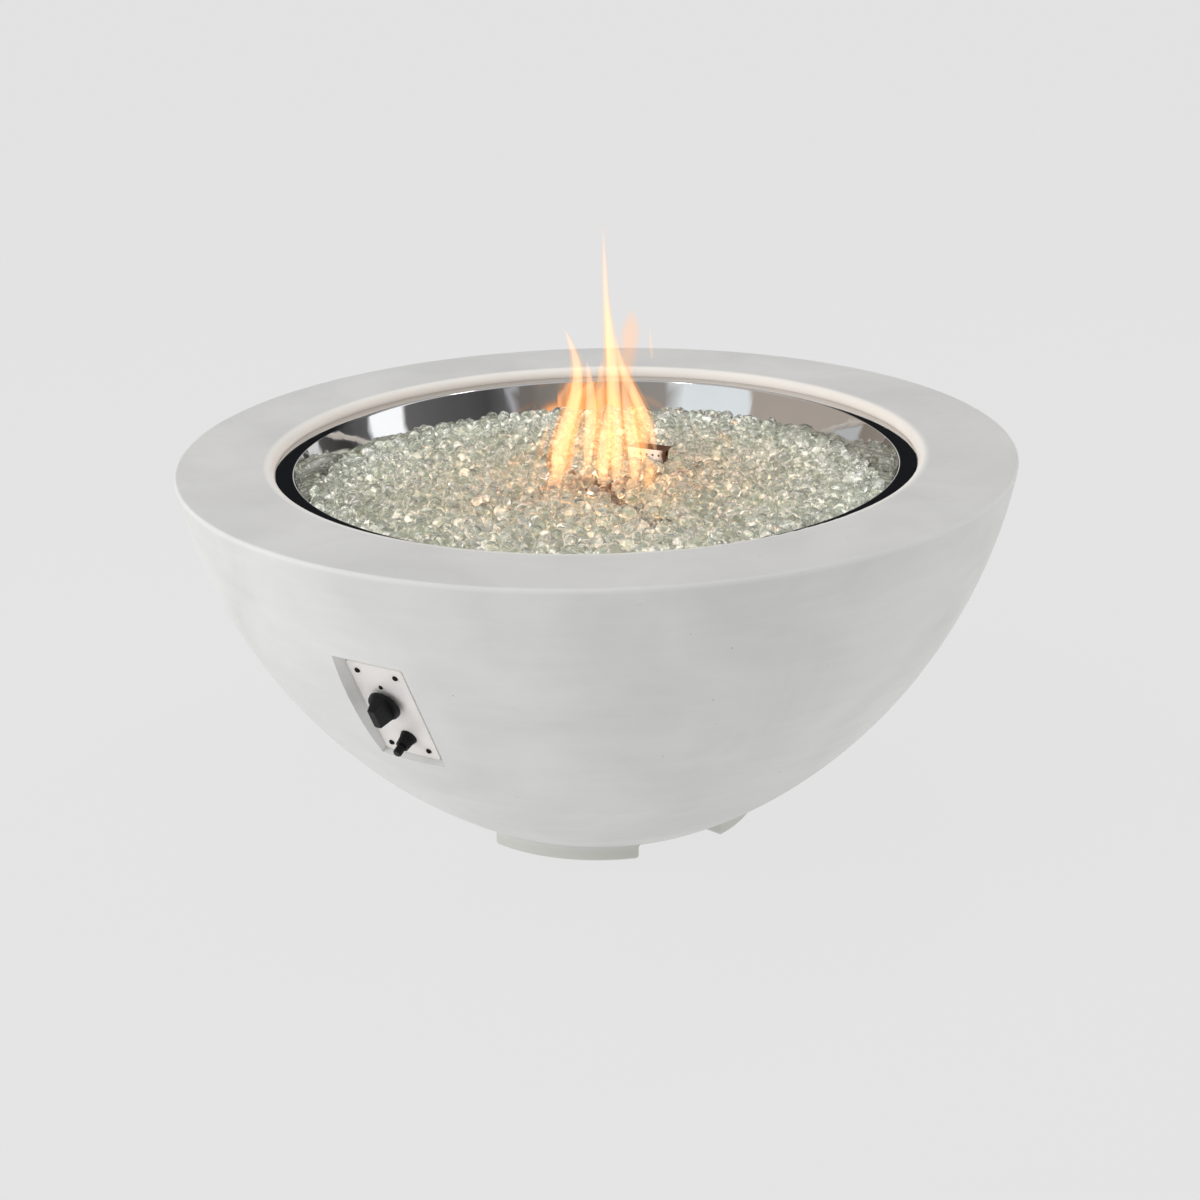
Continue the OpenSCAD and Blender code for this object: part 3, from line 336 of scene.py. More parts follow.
@dataclass(frozen=True)
class ClearGlass(Finish):
    """Tumbled clear glass, faintly green in depth: lamp light passes through, and painted glints glow in it,
    peach near the fire.

    Attributes:
        deep: Colour where the glass looks thick, sRGB hex.
        deep_share: Strength of that colour.
        glint: Strength of the painted glints, bright spots that glow in the glass.
        cold: Colour of the painted glints far from the fire, sRGB hex.
        peach: Colour of the painted glints close to the fire, a painted glow of the flames, sRGB hex.
    """

    deep: str = "#BCC0A8"
    deep_share: float = 0.3
    glint: float = 0.45
    cold: str = "#FFFFFA"
    peach: str = "#FFC896"

    def dress(self, tree: NodeTree) -> dict[str, object]:
        """Make the glass clear, tinted gem by gem, with painted glints: bright spots that glow, painted warm
        near the fire.

        Args:
            tree: The material's node tree.

        Returns:
            What goes into the inputs of its Principled shader.
        """
        tint = add(tree, "ShaderNodeAttribute", attribute_name="gem_tint").outputs["Fac"]
        tones = {0: tint, 6: linear(self.base), 7: linear(self.shade)}
        colour = add(tree, "ShaderNodeMix", tones, data_type="RGBA")
        place = add(tree, "ShaderNodeTexCoord").outputs["Object"]
        inside = add(tree, "ShaderNodeTexNoise", {"Vector": place, "Scale": 1 / (7 * MM), "Detail": 2.0})
        dips = {"From Min": 0.46, "From Max": 0.34, "To Max": self.deep_share}
        thick = add(tree, "ShaderNodeMapRange", {"Value": inside, **dips})
        colour = add(tree, "ShaderNodeMix", {0: thick, 6: colour, 7: linear(self.deep)}, data_type="RGBA")
        # Painted glints: bright spots that glow though there is no lamp in them.
        peaks = {"From Min": 0.58, "From Max": 0.70, "To Max": self.glint}
        spots = add(tree, "ShaderNodeMapRange", {"Value": inside, **peaks})
        reach = from_axis(tree, place)
        # Painted flame light: the glints turn peach near the fire.
        warm = add(tree, "ShaderNodeMapRange", {"Value": reach, "From Min": 0.36, "From Max": 0.10})
        lights = {0: warm, 6: linear(self.cold), 7: linear(self.peach)}
        light = add(tree, "ShaderNodeMix", lights, data_type="RGBA")
        return {
            "Base Color": colour,
            "Emission Color": light,
            "Emission Strength": spots,
            "Transmission Weight": 0.95,
            "IOR": 1.5,
        }

    def cover(self, tree: NodeTree, shader: Node) -> Node:
        """Let lamp light go straight through.

        Args:
            tree: The material's node tree.
            shader: Its Principled shader.

        Returns:
            The node that goes to the material's surface.
        """
        lamps = add(tree, "ShaderNodeLightPath").outputs["Is Shadow Ray"]
        clear = add(tree, "ShaderNodeBsdfTransparent", {"Color": linear("#FCFFFD")})
        return add(tree, "ShaderNodeMixShader", {0: lamps, 1: shader, 2: clear})


@dataclass(frozen=True)
class PackedGlass(Finish):
    """Deep packed glass gems, seen between the gems on top: pale cells with painted shade in the gaps between
    them.
    """

    def dress(self, tree: NodeTree) -> dict[str, object]:
        """Make round cells a gem wide under a clear coat, with painted shade in the gaps between them.

        Args:
            tree: The material's node tree.

        Returns:
            What goes into the inputs of its Principled shader.
        """
        place = add(tree, "ShaderNodeTexCoord").outputs["Object"]
        cells = add(tree, "ShaderNodeTexVoronoi", {"Vector": place, "Scale": 1 / (self.grain_mm * MM)})
        # Painted shade: darker towards the gaps between the cells.
        gap_shade = add(tree, "ShaderNodeMapRange", {"Value": cells, "From Min": 0.15, "From Max": 0.62})
        tones = {0: gap_shade, 6: linear(self.base), 7: linear(self.shade)}
        colour = add(tree, "ShaderNodeMix", tones, data_type="RGBA")
        domed = {"Height": cells, "Distance": self.depth_mm * MM, "Strength": 1.0}
        bump = add(tree, "ShaderNodeBump", domed, invert=True)
        return {"Base Color": colour, "Normal": bump, "Coat Weight": 0.6, "Coat Roughness": 0.06}


@dataclass(frozen=True)
class HoodSteel(Finish):
    """Stainless sheet that the pilot flame has browned inside and at one end.

    Attributes:
        centre: Middle of the hood's front, in metres.
        turn_deg: Turn of the hood about the bowl's axis.
        bright_mm: Half length of the part that stays bright.
        burnt: Colour of the browned part, sRGB hex.
    """

    centre: tuple[float, float, float] = (0.0, 0.0, 0.0)
    turn_deg: float = 0.0
    bright_mm: float = 23.0
    burnt: str = "#5A3A20"

    def dress(self, tree: NodeTree) -> dict[str, object]:
        """Brown the sheet away from its bright front.

        Args:
            tree: The material's node tree.

        Returns:
            What goes into the inputs of its Principled shader.
        """
        plain = super().dress(tree)
        place = add(tree, "ShaderNodeTexCoord").outputs["Object"]
        turn = -math.radians(self.turn_deg)
        origin = -(Matrix.Rotation(turn, 4, "Z") @ Vector(self.centre))
        own = {"Vector": place, "Rotation": (0.0, 0.0, turn), "Location": origin}
        axes = add(tree, "ShaderNodeSeparateXYZ", {0: add(tree, "ShaderNodeMapping", own)})
        wave = add(tree, "ShaderNodeTexNoise", {"Vector": place, "Scale": 1 / (9 * MM), "Detail": 3.0})
        drift = add(tree, "ShaderNodeMath", {0: wave, 1: 8 * MM}, operation="MULTIPLY")
        wavy = {0: axes.outputs[0], 1: -1.0, 2: drift}
        along = add(tree, "ShaderNodeMath", wavy, operation="MULTIPLY_ADD")
        end = {"From Min": (self.bright_mm - 1) * MM, "From Max": (self.bright_mm + 6) * MM}
        ended = add(tree, "ShaderNodeMapRange", {"Value": along, **end})
        sheet = {"From Min": -0.0008, "From Max": -0.0030}
        inner = add(tree, "ShaderNodeMapRange", {"Value": axes.outputs[1], **sheet})
        both = add(tree, "ShaderNodeMath", {0: ended, 1: inner}, operation="MAXIMUM")
        tones = {0: both, 6: plain["Base Color"], 7: linear(self.burnt)}
        return {**plain, "Base Color": add(tree, "ShaderNodeMix", tones, data_type="RGBA")}


# Pale cast concrete, rubbed smooth: nearly white and matt, so every soft shadow shows on it.
CONCRETE = CastConcrete(
    "concrete_cast_rubbed", "#E7E7E5", "#DCDCDA", 0.72,
    grain_mm=1.6, depth_mm=0.05, gloss=0.35, slot="concrete",
)
# Mirror polished stainless: dark where the room is dark, with slow waves from the spinning.
POLISHED = Finish(
    "stainless_polished", "#CFCDCB", "#C4C2C0", 0.045, 1.0, 60.0, 45.0, 0.10,
    spread=0.02, slot="polished_stainless",
)
# Brushed stainless plate: a warm pale sheen with fine lines across.
BRUSHED = Finish(
    "stainless_brushed_plate", "#F8F4F0", "#F1ECE8", 0.48, 0.2, 30.0, 0.6, 0.006,
    Band.ACROSS, 0.08, slot="panel_steel",
)
# Plain rolled stainless sheet: soft grey mirror.
SHEET = Finish("stainless_rolled_sheet", "#C9C6C1", "#B9B5AF", 0.28, 1.0, 14.0, 1.0, 0.01, slot="stainless")
# Corrugated stainless tube: the same sheet, drawn into rings.
CORRUGATED = Finish(
    "stainless_corrugated_tube", "#C9C6C1", "#B9B5AF", 0.28, 1.0, 14.0, 1.0, 0.01, slot="hose_steel"
)
# Bright zinc plate on steel: cool, slightly cloudy.
PLATED = Finish("steel_zinc_plated", "#C9CBCC", "#B4B7BA", 0.30, 1.0, 6.0, 0.8, 0.01, slot="bright_steel")
# Hard drawn spring wire: grey with a fine drawn grain.
WIRE = Finish("steel_spring_wire", "#9A9B9C", "#858789", 0.34, 1.0, 3.0, 0.4, 0.006, slot="spring_steel")
# Stainless that has been red hot: brown and straw patches, dull.
BROWNED = Finish(
    "stainless_heat_browned", "#7A5636", "#4E3421", 0.42, 0.75, 16.0, 1.4,
    spread=0.12, slot="heat_tinted_steel",
)
# Black oxide on steel screws: deep black with a low gloss.
BLACKED = Finish(
    "steel_black_oxide", "#0C0D0E", "#070808", 0.42, 0.0, 4.0, 0.5, 0.008, gloss=0.2, slot="black_steel"
)
# Moulded black nylon: satin, with the fine spark grain of its mould.
MOULDED = Finish(
    "nylon_moulded_black", "#0D0F10", "#08090A", 0.42, 0.0, 9.0, 0.5, 0.03, gloss=0.24, slot="black_plastic"
)
# Moulded acetal button: a little greyer and smoother than its collar.
BUTTON = Finish(
    "acetal_moulded_black", "#101213", "#0A0C0D", 0.36, 0.0, 7.0, 0.5, 0.02, gloss=0.24, slot="button_plastic"
)
# Turned brass fittings: warm yellow with a turned sheen.
TURNED = Finish("brass_turned", "#D2AE63", "#B9924A", 0.26, 1.0, 8.0, 0.5, 0.008, Band.ROUND, slot="brass")
# Forged and tumbled brass: paler and rougher than turned brass.
FORGED = Finish("brass_forged_tumbled", "#BFA768", "#A08C55", 0.46, 1.0, 10.0, 0.9, 0.04, slot="valve_brass")
# Drawn copper: warm, clouded by handling.
DRAWN = Finish("copper_drawn", "#B9744C", "#935636", 0.32, 1.0, 10.0, 0.8, 0.01, slot="copper")
# Die cast aluminium: pale and grainy.
DIE_CAST = Finish("aluminium_die_cast", "#C3C4C4", "#AFB0B0", 0.48, 1.0, 12.0, 0.8, 0.03, slot="aluminium")
# Alumina: white, dry and hard.
ALUMINA = Finish("alumina_fired_white", "#EFEBE2", "#E3DED3", 0.35, 0.0, 10.0, 0.5, 0.008, slot="ceramic")
# Silicone sleeve: red, waxy.
SLEEVE = Finish("silicone_sleeve_red", "#A8341E", "#8E2A18", 0.50, 0.0, 12.0, 0.6, 0.01, slot="lead_rubber")
# Pressed fibre gasket: dark and dry.
FIBRE = Finish("fibre_pressed", "#34332F", "#282724", 0.86, 0.0, 6.0, 0.7, 0.04, slot="gasket_fibre")
# Clear glass gems, faintly green, with painted glints.
GLASS = ClearGlass("glass_tumbled_clear", "#FFFFFF", "#F6F8EF", 0.0, slot="clear_glass")
# Packed glass under them: pale cells, with painted shade in the gaps.
PACKED = PackedGlass(
    "glass_packed_gems", "#FFFFF8", "#9C9F8E", 0.25, 0.0, 16.0, 16.0, 5.0, slot="clear_glass"
)


def new_object(name: str, data: bpy.types.ID, *finishes: Finish) -> Object:
    """Put a mesh, a lamp or a lens in the scene.

    Args:
        name: Name of the object.
        data: Its mesh, in place, or its lamp or lens.
        *finishes: Finishes for a mesh's material slots, in order.

    Returns:
        The new object.
    """
    made = bpy.data.objects.new(name, data)
    bpy.context.scene.collection.objects.link(made)
    if finishes:
        data.materials.clear()
    for finish in finishes:
        data.materials.append(finish.material())
    return made


def stand_for(made: Object, node: str, body: str) -> None:
    """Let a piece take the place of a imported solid.

    Args:
        made: The piece.
        node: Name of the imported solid.
        body: Body that it rides on.
    """
    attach(made, body)
    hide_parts(node)
    LOG.info("piece %s: %d faces", made.name, len(made.data.polygons))


def paint(frame: dict, finishes: dict[str, Finish]) -> None:
    """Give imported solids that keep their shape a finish.

    Args:
        finishes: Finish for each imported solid.
    """
    for node, finish in finishes.items():
        mesh = frame["nodes"][node].data
        mesh.materials.clear()
        mesh.materials.append(finish.material())
        LOG.info("packed solid %s: %s", node, finish.name)


def mesh_of(name: str, points: list, faces: list, smooth: bool = True) -> Mesh:
    """Make a mesh from points and faces, with its normals outwards.

    Args:
        name: Name of the mesh.
        points: Points in metres.
        faces: Lists of point numbers.
        smooth: True for smooth shading.

    Returns:
        The mesh.
    """
    mesh = bpy.data.meshes.new(name)
    mesh.from_pydata([tuple(p) for p in points], [], faces)
    shell = bmesh.new()
    shell.from_mesh(mesh)
    bmesh.ops.recalc_face_normals(shell, faces=shell.faces)
    for face in shell.faces:
        face.smooth = smooth
    shell.to_mesh(mesh)
    shell.free()
    return mesh


def tube(name: str, line: list[Vector], radii: list[float], sides: int) -> Mesh:
    """Sweep a round tube along a line.

    Args:
        name: Name of the mesh.
        line: Points of the centreline.
        radii: Radius at each point.
        sides: Number of sides.

    Returns:
        A closed mesh.
    """
    points, faces = [], []
    side = Vector(FIRST_SIDE)
    last = len(line) - 1
    for i, centre in enumerate(line):
        ahead = (line[min(i + 1, last)] - line[max(i - 1, 0)]).normalized()
        side = (side - ahead * side.dot(ahead)).normalized()
        up = ahead.cross(side)
        for k in range(sides):
            a = 2 * math.pi * k / sides
            points.append(centre + (side * math.cos(a) + up * math.sin(a)) * radii[i])
    for i in range(last):
        for k in range(sides):
            m = (k + 1) % sides
            faces.append((i * sides + k, i * sides + m, (i + 1) * sides + m, (i + 1) * sides + k))
    faces.append(tuple(range(sides)))
    faces.append(tuple(last * sides + k for k in range(sides)))
    return mesh_of(name, points, faces)


def smooth_line(points: list[Vector], steps: int) -> list[Vector]:
    """Draw a smooth line through a row of points.

    Args:
        points: Points that the line passes through.
        steps: Steps from one point to the next.

    Returns:
        Points along the line.
    """
    line = []
    last = len(points) - 1
    for i in range(last):
        a, b, c, d = points[max(i - 1, 0)], points[i], points[i + 1], points[min(i + 2, last)]
        for k in range(steps + (i == last - 1)):
            t = k / steps
            square, cube = 2 * a - 5 * b + 4 * c - d, 3 * b - a - 3 * c + d
            line.append(0.5 * (2 * b + (c - a) * t + square * t**2 + cube * t**3))
    return line


def even_line(line: list[Vector], count: int) -> list[Vector]:
    """Take points at even distances along a line.

    Args:
        line: Points of the line.
        count: Number of steps.

    Returns:
        One point more than the steps.
    """
    run = [0.0]
    for a, b in zip(line, line[1:]):
        run.append(run[-1] + (b - a).length)
    spots, i = [], 0
    for k in range(count + 1):
        goal = run[-1] * k / count
        while i < len(run) - 2 and run[i + 1] < goal:
            i += 1
        spots.append(line[i].lerp(line[i + 1], (goal - run[i]) / (run[i + 1] - run[i])))
    return spots


def bake(obj: Object, name: str) -> Mesh:
    """Turn an object with modifiers into a plain mesh and remove the object.

    Args:
        obj: Object with live modifiers.
        name: Name of the new mesh.

    Returns:
        The finished mesh.
    """
    bpy.context.view_layer.update()
    graph = bpy.context.evaluated_depsgraph_get()
    mesh = bpy.data.meshes.new_from_object(obj.evaluated_get(graph), depsgraph=graph)
    mesh.name = name
    obj.modifiers.clear()
    bpy.data.objects.remove(obj)
    return mesh


def new_tree(name: str, sockets: dict[str, str]) -> tuple[NodeTree, Node, dict[str, str]]:
    """Start a geometry node tree with named inputs.

    Args:
        name: Name of the tree.
        sockets: Kind of each named input after the geometry.

    Returns:
        The tree, its input node, and the identifier of each named input.
    """
    tree = bpy.data.node_groups.new(name, "GeometryNodeTree")
    tree.interface.new_socket("Geometry", in_out="INPUT", socket_type="NodeSocketGeometry")
    keys = {}
    for label, kind in sockets.items():
        made = tree.interface.new_socket(label, in_out="INPUT", socket_type="NodeSocket" + kind)
        keys[label] = made.identifier
    tree.interface.new_socket("Geometry", in_out="OUTPUT", socket_type="NodeSocketGeometry")
    return tree, tree.nodes.new("NodeGroupInput"), keys


def run_tree(
    ground: Mesh, tree: NodeTree, keys: dict[str, str], values: dict[str, object], name: str
) -> Object:
    """Run a geometry node tree on a mesh and keep the result as a plain mesh.

    Args:
        ground: Mesh that goes in.
        tree: The tree.
        keys: Identifier of each named input.
        values: Value of each named input.
        name: Name of the piece.

    Returns:
        The piece, with no modifier left on it.
    """
    obj = new_object(name + "_ground", ground)
    worker = obj.modifiers.new("made_by_nodes", "NODES")
    worker.node_group = tree
    for label, value in values.items():
        worker[keys[label]] = value
    return new_object(name, bake(obj, name))


def creases(shell: bmesh.types.BMesh, least_deg: float) -> list[bmesh.types.BMEdge]:
    """Find the edges that turn by more than an angle.

    Args:
        shell: The mesh.
        least_deg: The angle.

    Returns:
        Its edges between two faces that turn by more.
    """
    least = math.radians(least_deg)
    return [e for e in shell.edges if len(e.link_faces) == 2 and e.calc_face_angle(0.0) > least]


def rounded(
    shell: bmesh.types.BMesh, edges: list[bmesh.types.BMEdge], width_mm: float, segments: int
) -> None:
    """Round edges of a mesh.

    Args:
        shell: The mesh.
        edges: The edges.
        width_mm: Width of the rounding.
        segments: Number of strips in it.
    """
    bmesh.ops.bevel(
        shell,
        geom=edges,
        offset=width_mm * MM,
        offset_type="OFFSET",
        segments=segments,
        profile=0.5,
        affect="EDGES",
        clamp_overlap=True,
    )


def softened(frame: dict, node: str, width_mm: float, finish: Finish, mouth_mm: float = 0.0) -> None:
    """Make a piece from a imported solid's copy, with its triangles merged and its edges rounded.

    Args:
        node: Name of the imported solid.
        width_mm: Width of the rounding.
        finish: Finish of the piece.
        mouth_mm: Width of the rounding at the inner edge of its top, where that is wider.
    """
    source = frame["nodes"][node]
    shell = bmesh.new()
    shell.from_mesh(source.data)
    bmesh.ops.remove_doubles(shell, verts=shell.verts, dist=MERGE_MM * MM)
    flat = math.radians(FLAT_DEG)
    bmesh.ops.dissolve_limit(shell, angle_limit=flat, verts=shell.verts, edges=shell.edges)
    sharp = creases(shell, SHARP_DEG)
    mouth = []
    if mouth_mm:
        top = max(v.co.z for v in shell.verts) - 0.1 * MM
        reach = max(v.co.xy.length for v in shell.verts) - 3 * MM
        mouth = [e for e in sharp if all(v.co.z > top and v.co.xy.length < reach for v in e.verts)]
    rounded(shell, [e for e in sharp if e not in mouth], width_mm, segments=2)
    if mouth:
        rounded(shell, [e for e in mouth if e.is_valid], mouth_mm, segments=4)
    for face in shell.faces:
        face.smooth = True
    for edge in creases(shell, CREASE_DEG):
        edge.smooth = False
    mesh = bpy.data.meshes.new(node + "_softened")
    shell.to_mesh(mesh)
    shell.free()
    rough = new_object(node + "_rounded", mesh)
    even = rough.modifiers.new("even", "WEIGHTED_NORMAL")
    even.weight = 90
    even.keep_sharp = True
    made = new_object(node + "_rounded", bake(rough, node + "_rounded"), finish)
    stand_for(made, node, source["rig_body"])


@dataclass
class PhotoCamera:
    """The photograph's camera, from its fit to the rim, the opening and the side.

    Attributes:
        eye_mm: Where it stands, before the turn to the photograph's side.
        aim_mm: What it looks at.
        roll_deg: How far it leans.
        focal_px: Focal length in the photograph's pixels.
        centre_px: Where its axis meets the photograph.
        size_px: Width and height of the photograph.
    """

    eye_mm: tuple[float, float, float] = (0.0, -2828.5, 1315.86)
    aim_mm: tuple[float, float, float] = (0.0, 0.0, 244.5)
    roll_deg: float = -1.33
    focal_px: float = 2285.84
    centre_px: tuple[float, float] = (600.0, 625.74)
    size_px: float = 1200.0

    def build(self) -> None:
        """Make the camera and use it."""
        eye, aim = Vector(self.eye_mm) * MM, Vector(self.aim_mm) * MM
        ahead = (aim - eye).normalized()
        level = Vector((1.0, 0.0, 0.0))
        up = level.cross(ahead)
        roll = math.radians(self.roll_deg)
        right = level * math.cos(roll) + up * math.sin(roll)
        up = right.cross(ahead)
        pose = Matrix((right, up, -ahead)).transposed().to_4x4()
        pose.translation = eye
        lens = bpy.data.cameras.new("photo_lens")
        lens.sensor_width = 36.0
        lens.lens = self.focal_px / self.size_px * lens.sensor_width
        lens.shift_x = (self.size_px / 2 - self.centre_px[0]) / self.size_px
        lens.shift_y = (self.centre_px[1] - self.size_px / 2) / self.size_px
        lens.clip_end = 200.0
        made = new_object("photo_camera", lens)
        made.matrix_world = Matrix.Rotation(math.radians(PHOTO_DEG), 4, "Z") @ pose
        bpy.context.scene.camera = made


@dataclass
class Studio:
    """Plain pale floor and soft light, with a darker room for the polished pan to mirror.

    Attributes:
        pale: Colour of floor and backdrop, sRGB hex.
        paper: Colour that the floor adds where light falls on it, sRGB hex.
        glow: Strength of the floor's own light.
        floor_m: Half width of the floor.
        aim_m: What the lamps point at.
    """

    pale: str = "#E4E4E4"
    paper: str = "#4A4A4A"
    glow: float = 0.93
    floor_m: float = 60.0
    aim_m: tuple[float, float, float] = (0.0, 0.0, 0.3)

    def build(self) -> None:
        """Make floor, room and lamps."""
        self.floor()
        self.room()
        self.lamps()
        view = bpy.context.scene.view_settings
        view.view_transform = "Standard"
        view.look = "None"
        bpy.context.scene.cycles.transparent_max_bounces = 40

    def floor(self) -> None:
        """Make the pale floor, which glows softly so that it stays even."""
        s = self.floor_m
        mesh = mesh_of("pale_floor", [(-s, -s, 0), (s, -s, 0), (s, s, 0), (-s, s, 0)], [(0, 1, 2, 3)], False)
        made, tree = blank("paper_floor_pale")
        glow = add(tree, "ShaderNodeEmission", {"Color": linear(self.pale), "Strength": self.glow})
        paper = add(tree, "ShaderNodeBsdfDiffuse", {"Color": linear(self.paper)})
        both = add(tree, "ShaderNodeAddShader", {0: glow, 1: paper})
        add(tree, "ShaderNodeOutputMaterial", {"Surface": both})
        mesh.materials.append(made)
        new_object("pale_floor", mesh)

    def room(self) -> None:
        """Make the room: dark behind over a pale sweep, taupe on one side, with bright panels between."""
        world = bpy.data.worlds.new("studio_room")
        bpy.context.scene.world = world
        world.use_nodes = True
        tree = world.node_tree
        tree.nodes.clear()
        way = add(tree, "ShaderNodeTexCoord").outputs["Generated"]
        turn = (0.0, 0.0, -math.radians(PHOTO_DEG))
        turned = add(tree, "ShaderNodeMapping", {"Vector": way, "Rotation": turn}, vector_type="POINT")
        axes = add(tree, "ShaderNodeSeparateXYZ", {0: turned})
        rise = axes.outputs[2]
        front = add(tree, "ShaderNodeMath", {0: axes.outputs[1], 1: -1.0}, operation="MULTIPLY")
        angle = add(tree, "ShaderNodeMath", {0: axes.outputs[0], 1: front}, operation="ARCTAN2")
        share = add(tree, "ShaderNodeMapRange", {"Value": angle, "From Min": -math.pi, "From Max": math.pi})
        black, dark, mid = (0.016, 0.017, 0.020, 1), (0.095, 0.096, 0.10, 1), (0.20, 0.20, 0.205, 1)
        haze, warm, taupe = (0.265, 0.245, 0.226, 1), (0.46, 0.433, 0.407, 1), (0.62, 0.555, 0.495, 1)
        strip, soft, bright = (0.62, 0.64, 0.70, 1), (1.16, 1.25, 1.31, 1), (1.6, 1.66, 1.72, 1)
        pale, over = (0.95, 0.95, 0.96, 1), (0.79, 0.79, 0.80, 1)
        # Degrees round from the photograph's side, to its right, and what stands there.
        walls = (
            (-180, black), (-145, black), (-130, taupe), (-68, taupe), (-65, soft), (-35, soft), (-30, warm),
            (10, warm), (26, haze), (32, haze), (33, strip), (34, strip), (35, mid), (44, dark), (82, mid),
            (84, bright), (100, bright), (102, mid), (125, black),
        )
        band = add(tree, "ShaderNodeValToRGB", {0: share})
        stops = band.color_ramp.elements
        while len(stops) < len(walls):
            stops.new(1.0)
        for stop, (degrees, colour) in zip(stops, walls):
            stop.position = (degrees + 180) / 360
            stop.color = colour
        round_deg = add(tree, "ShaderNodeMath", {0: angle}, operation="ABSOLUTE")
        back = {"From Min": math.radians(125), "From Max": math.radians(145)}
        behind = add(tree, "ShaderNodeMapRange", {"Value": round_deg, **back})
        level = add(tree, "ShaderNodeMapRange", {"Value": rise, "From Min": 0.22, "From Max": 0.12})
        sweep = add(tree, "ShaderNodeMath", {0: behind, 1: level}, operation="MULTIPLY")
        sides = add(tree, "ShaderNodeMix", {0: sweep, 6: band, 7: pale}, data_type="RGBA")
        high = add(tree, "ShaderNodeMapRange", {"Value": rise, "From Min": 0.55, "From Max": 0.80})
        seen = add(tree, "ShaderNodeMix", {0: high, 6: sides, 7: over}, data_type="RGBA")
        direct = add(tree, "ShaderNodeLightPath").outputs["Is Camera Ray"]
        shown = add(tree, "ShaderNodeMix", {0: direct, 6: seen, 7: linear(self.pale)}, data_type="RGBA")
        sky = add(tree, "ShaderNodeBackground", {"Color": shown, "Strength": 1.0})
        add(tree, "ShaderNodeOutputWorld", {"Surface": sky})

    def lamps(self) -> None:
        """Hang the soft lamps, and two small ones for glints in the glass."""
        for name, place, size, power, tint in (
            ("lamp_left", (-3.6, -1.2, 1.3), 2.4, 39.0, "#F8FAFF"),
            ("lamp_right", (3.6, 0.8, 0.5), 1.8, 26.0, "#FFFBF6"),
            ("lamp_over", (0.2, 0.4, 3.4), 2.2, 2.5, "#FFFCF8"),
            ("lamp_glint_left", (-1.0, -0.5, 2.9), 0.22, 3.0, "#FFFFFF"),
            ("lamp_glint_right", (0.9, 0.7, 2.9), 0.22, 3.0, "#FFFFFF"),
        ):
            lamp = bpy.data.lights.new(name, "AREA")
            lamp.shape = "SQUARE"
            lamp.size = size
            lamp.energy = power
            lamp.color = linear(tint)[:3]
            made = new_object(name, lamp)
            spot = Matrix.Rotation(math.radians(PHOTO_DEG), 3, "Z") @ Vector(place)
            made.location = spot
            made.rotation_euler = (Vector(self.aim_m) - spot).to_track_quat("-Z", "Y").to_euler()
            made.visible_glossy = size < 0.5


class Heat(Enum):
    """How hot a flame is: colour and glow per metre of its mantle, then of its core, and its density."""

    HOT = ("#FFB266", 14.0, "#FFE2C2", 44.0, 27.0)
    WARM = ("#FFAE60", 11.0, "#FFDAB0", 30.0, 25.0)
    FAINT = ("#FFB078", 5.0, "#FFC898", 5.0, 12.0)


@dataclass(frozen=True)
class Tongue:
    """One tongue of flame, in millimetres as the photograph sees it.

    Attributes:
        heat: How hot it is.
        foot: Side place and height of its foot.
        tip: Side place and height of its tip.
        depth: How far behind the middle it burns.
        width: Half width of its belly.
        belly: Share of its height where it is widest.
        sway: How far it swings to one side and back again on its way up.
        bend: How far its middle lies off the straight line.
    """

    heat: Heat
    foot: tuple[float, float]
    tip: tuple[float, float]
    depth: float
    width: float
    belly: float = 0.3
    sway: float = 0.0
    bend: float = 0.0

    def line(self, turn: Matrix, steps: int) -> tuple[list[Vector], list[float]]:
        """Draw its centreline and half widths from foot to tip.

        Args:
            turn: Turn from the photograph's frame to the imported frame.
            steps: Number of steps.

        Returns:
            Points in metres and a half width for each.
        """
        points, radii = [], []
        for i in range(steps + 1):
            t = i / steps
            x = self.foot[0] + (self.tip[0] - self.foot[0]) * t
            x += self.bend * math.sin(math.pi * t) + self.sway * math.sin(2 * math.pi * t)
            z = self.foot[1] + (self.tip[1] - self.foot[1]) * t
            points.append(turn @ Vector((x, self.depth, z)) * MM)
            rise = t / self.belly if t < self.belly else (1 - t) / (1 - self.belly)
            radii.append(max(self.width * math.sin(rise * math.pi / 2) ** 0.8, 0.4) * MM)
        return points, radii


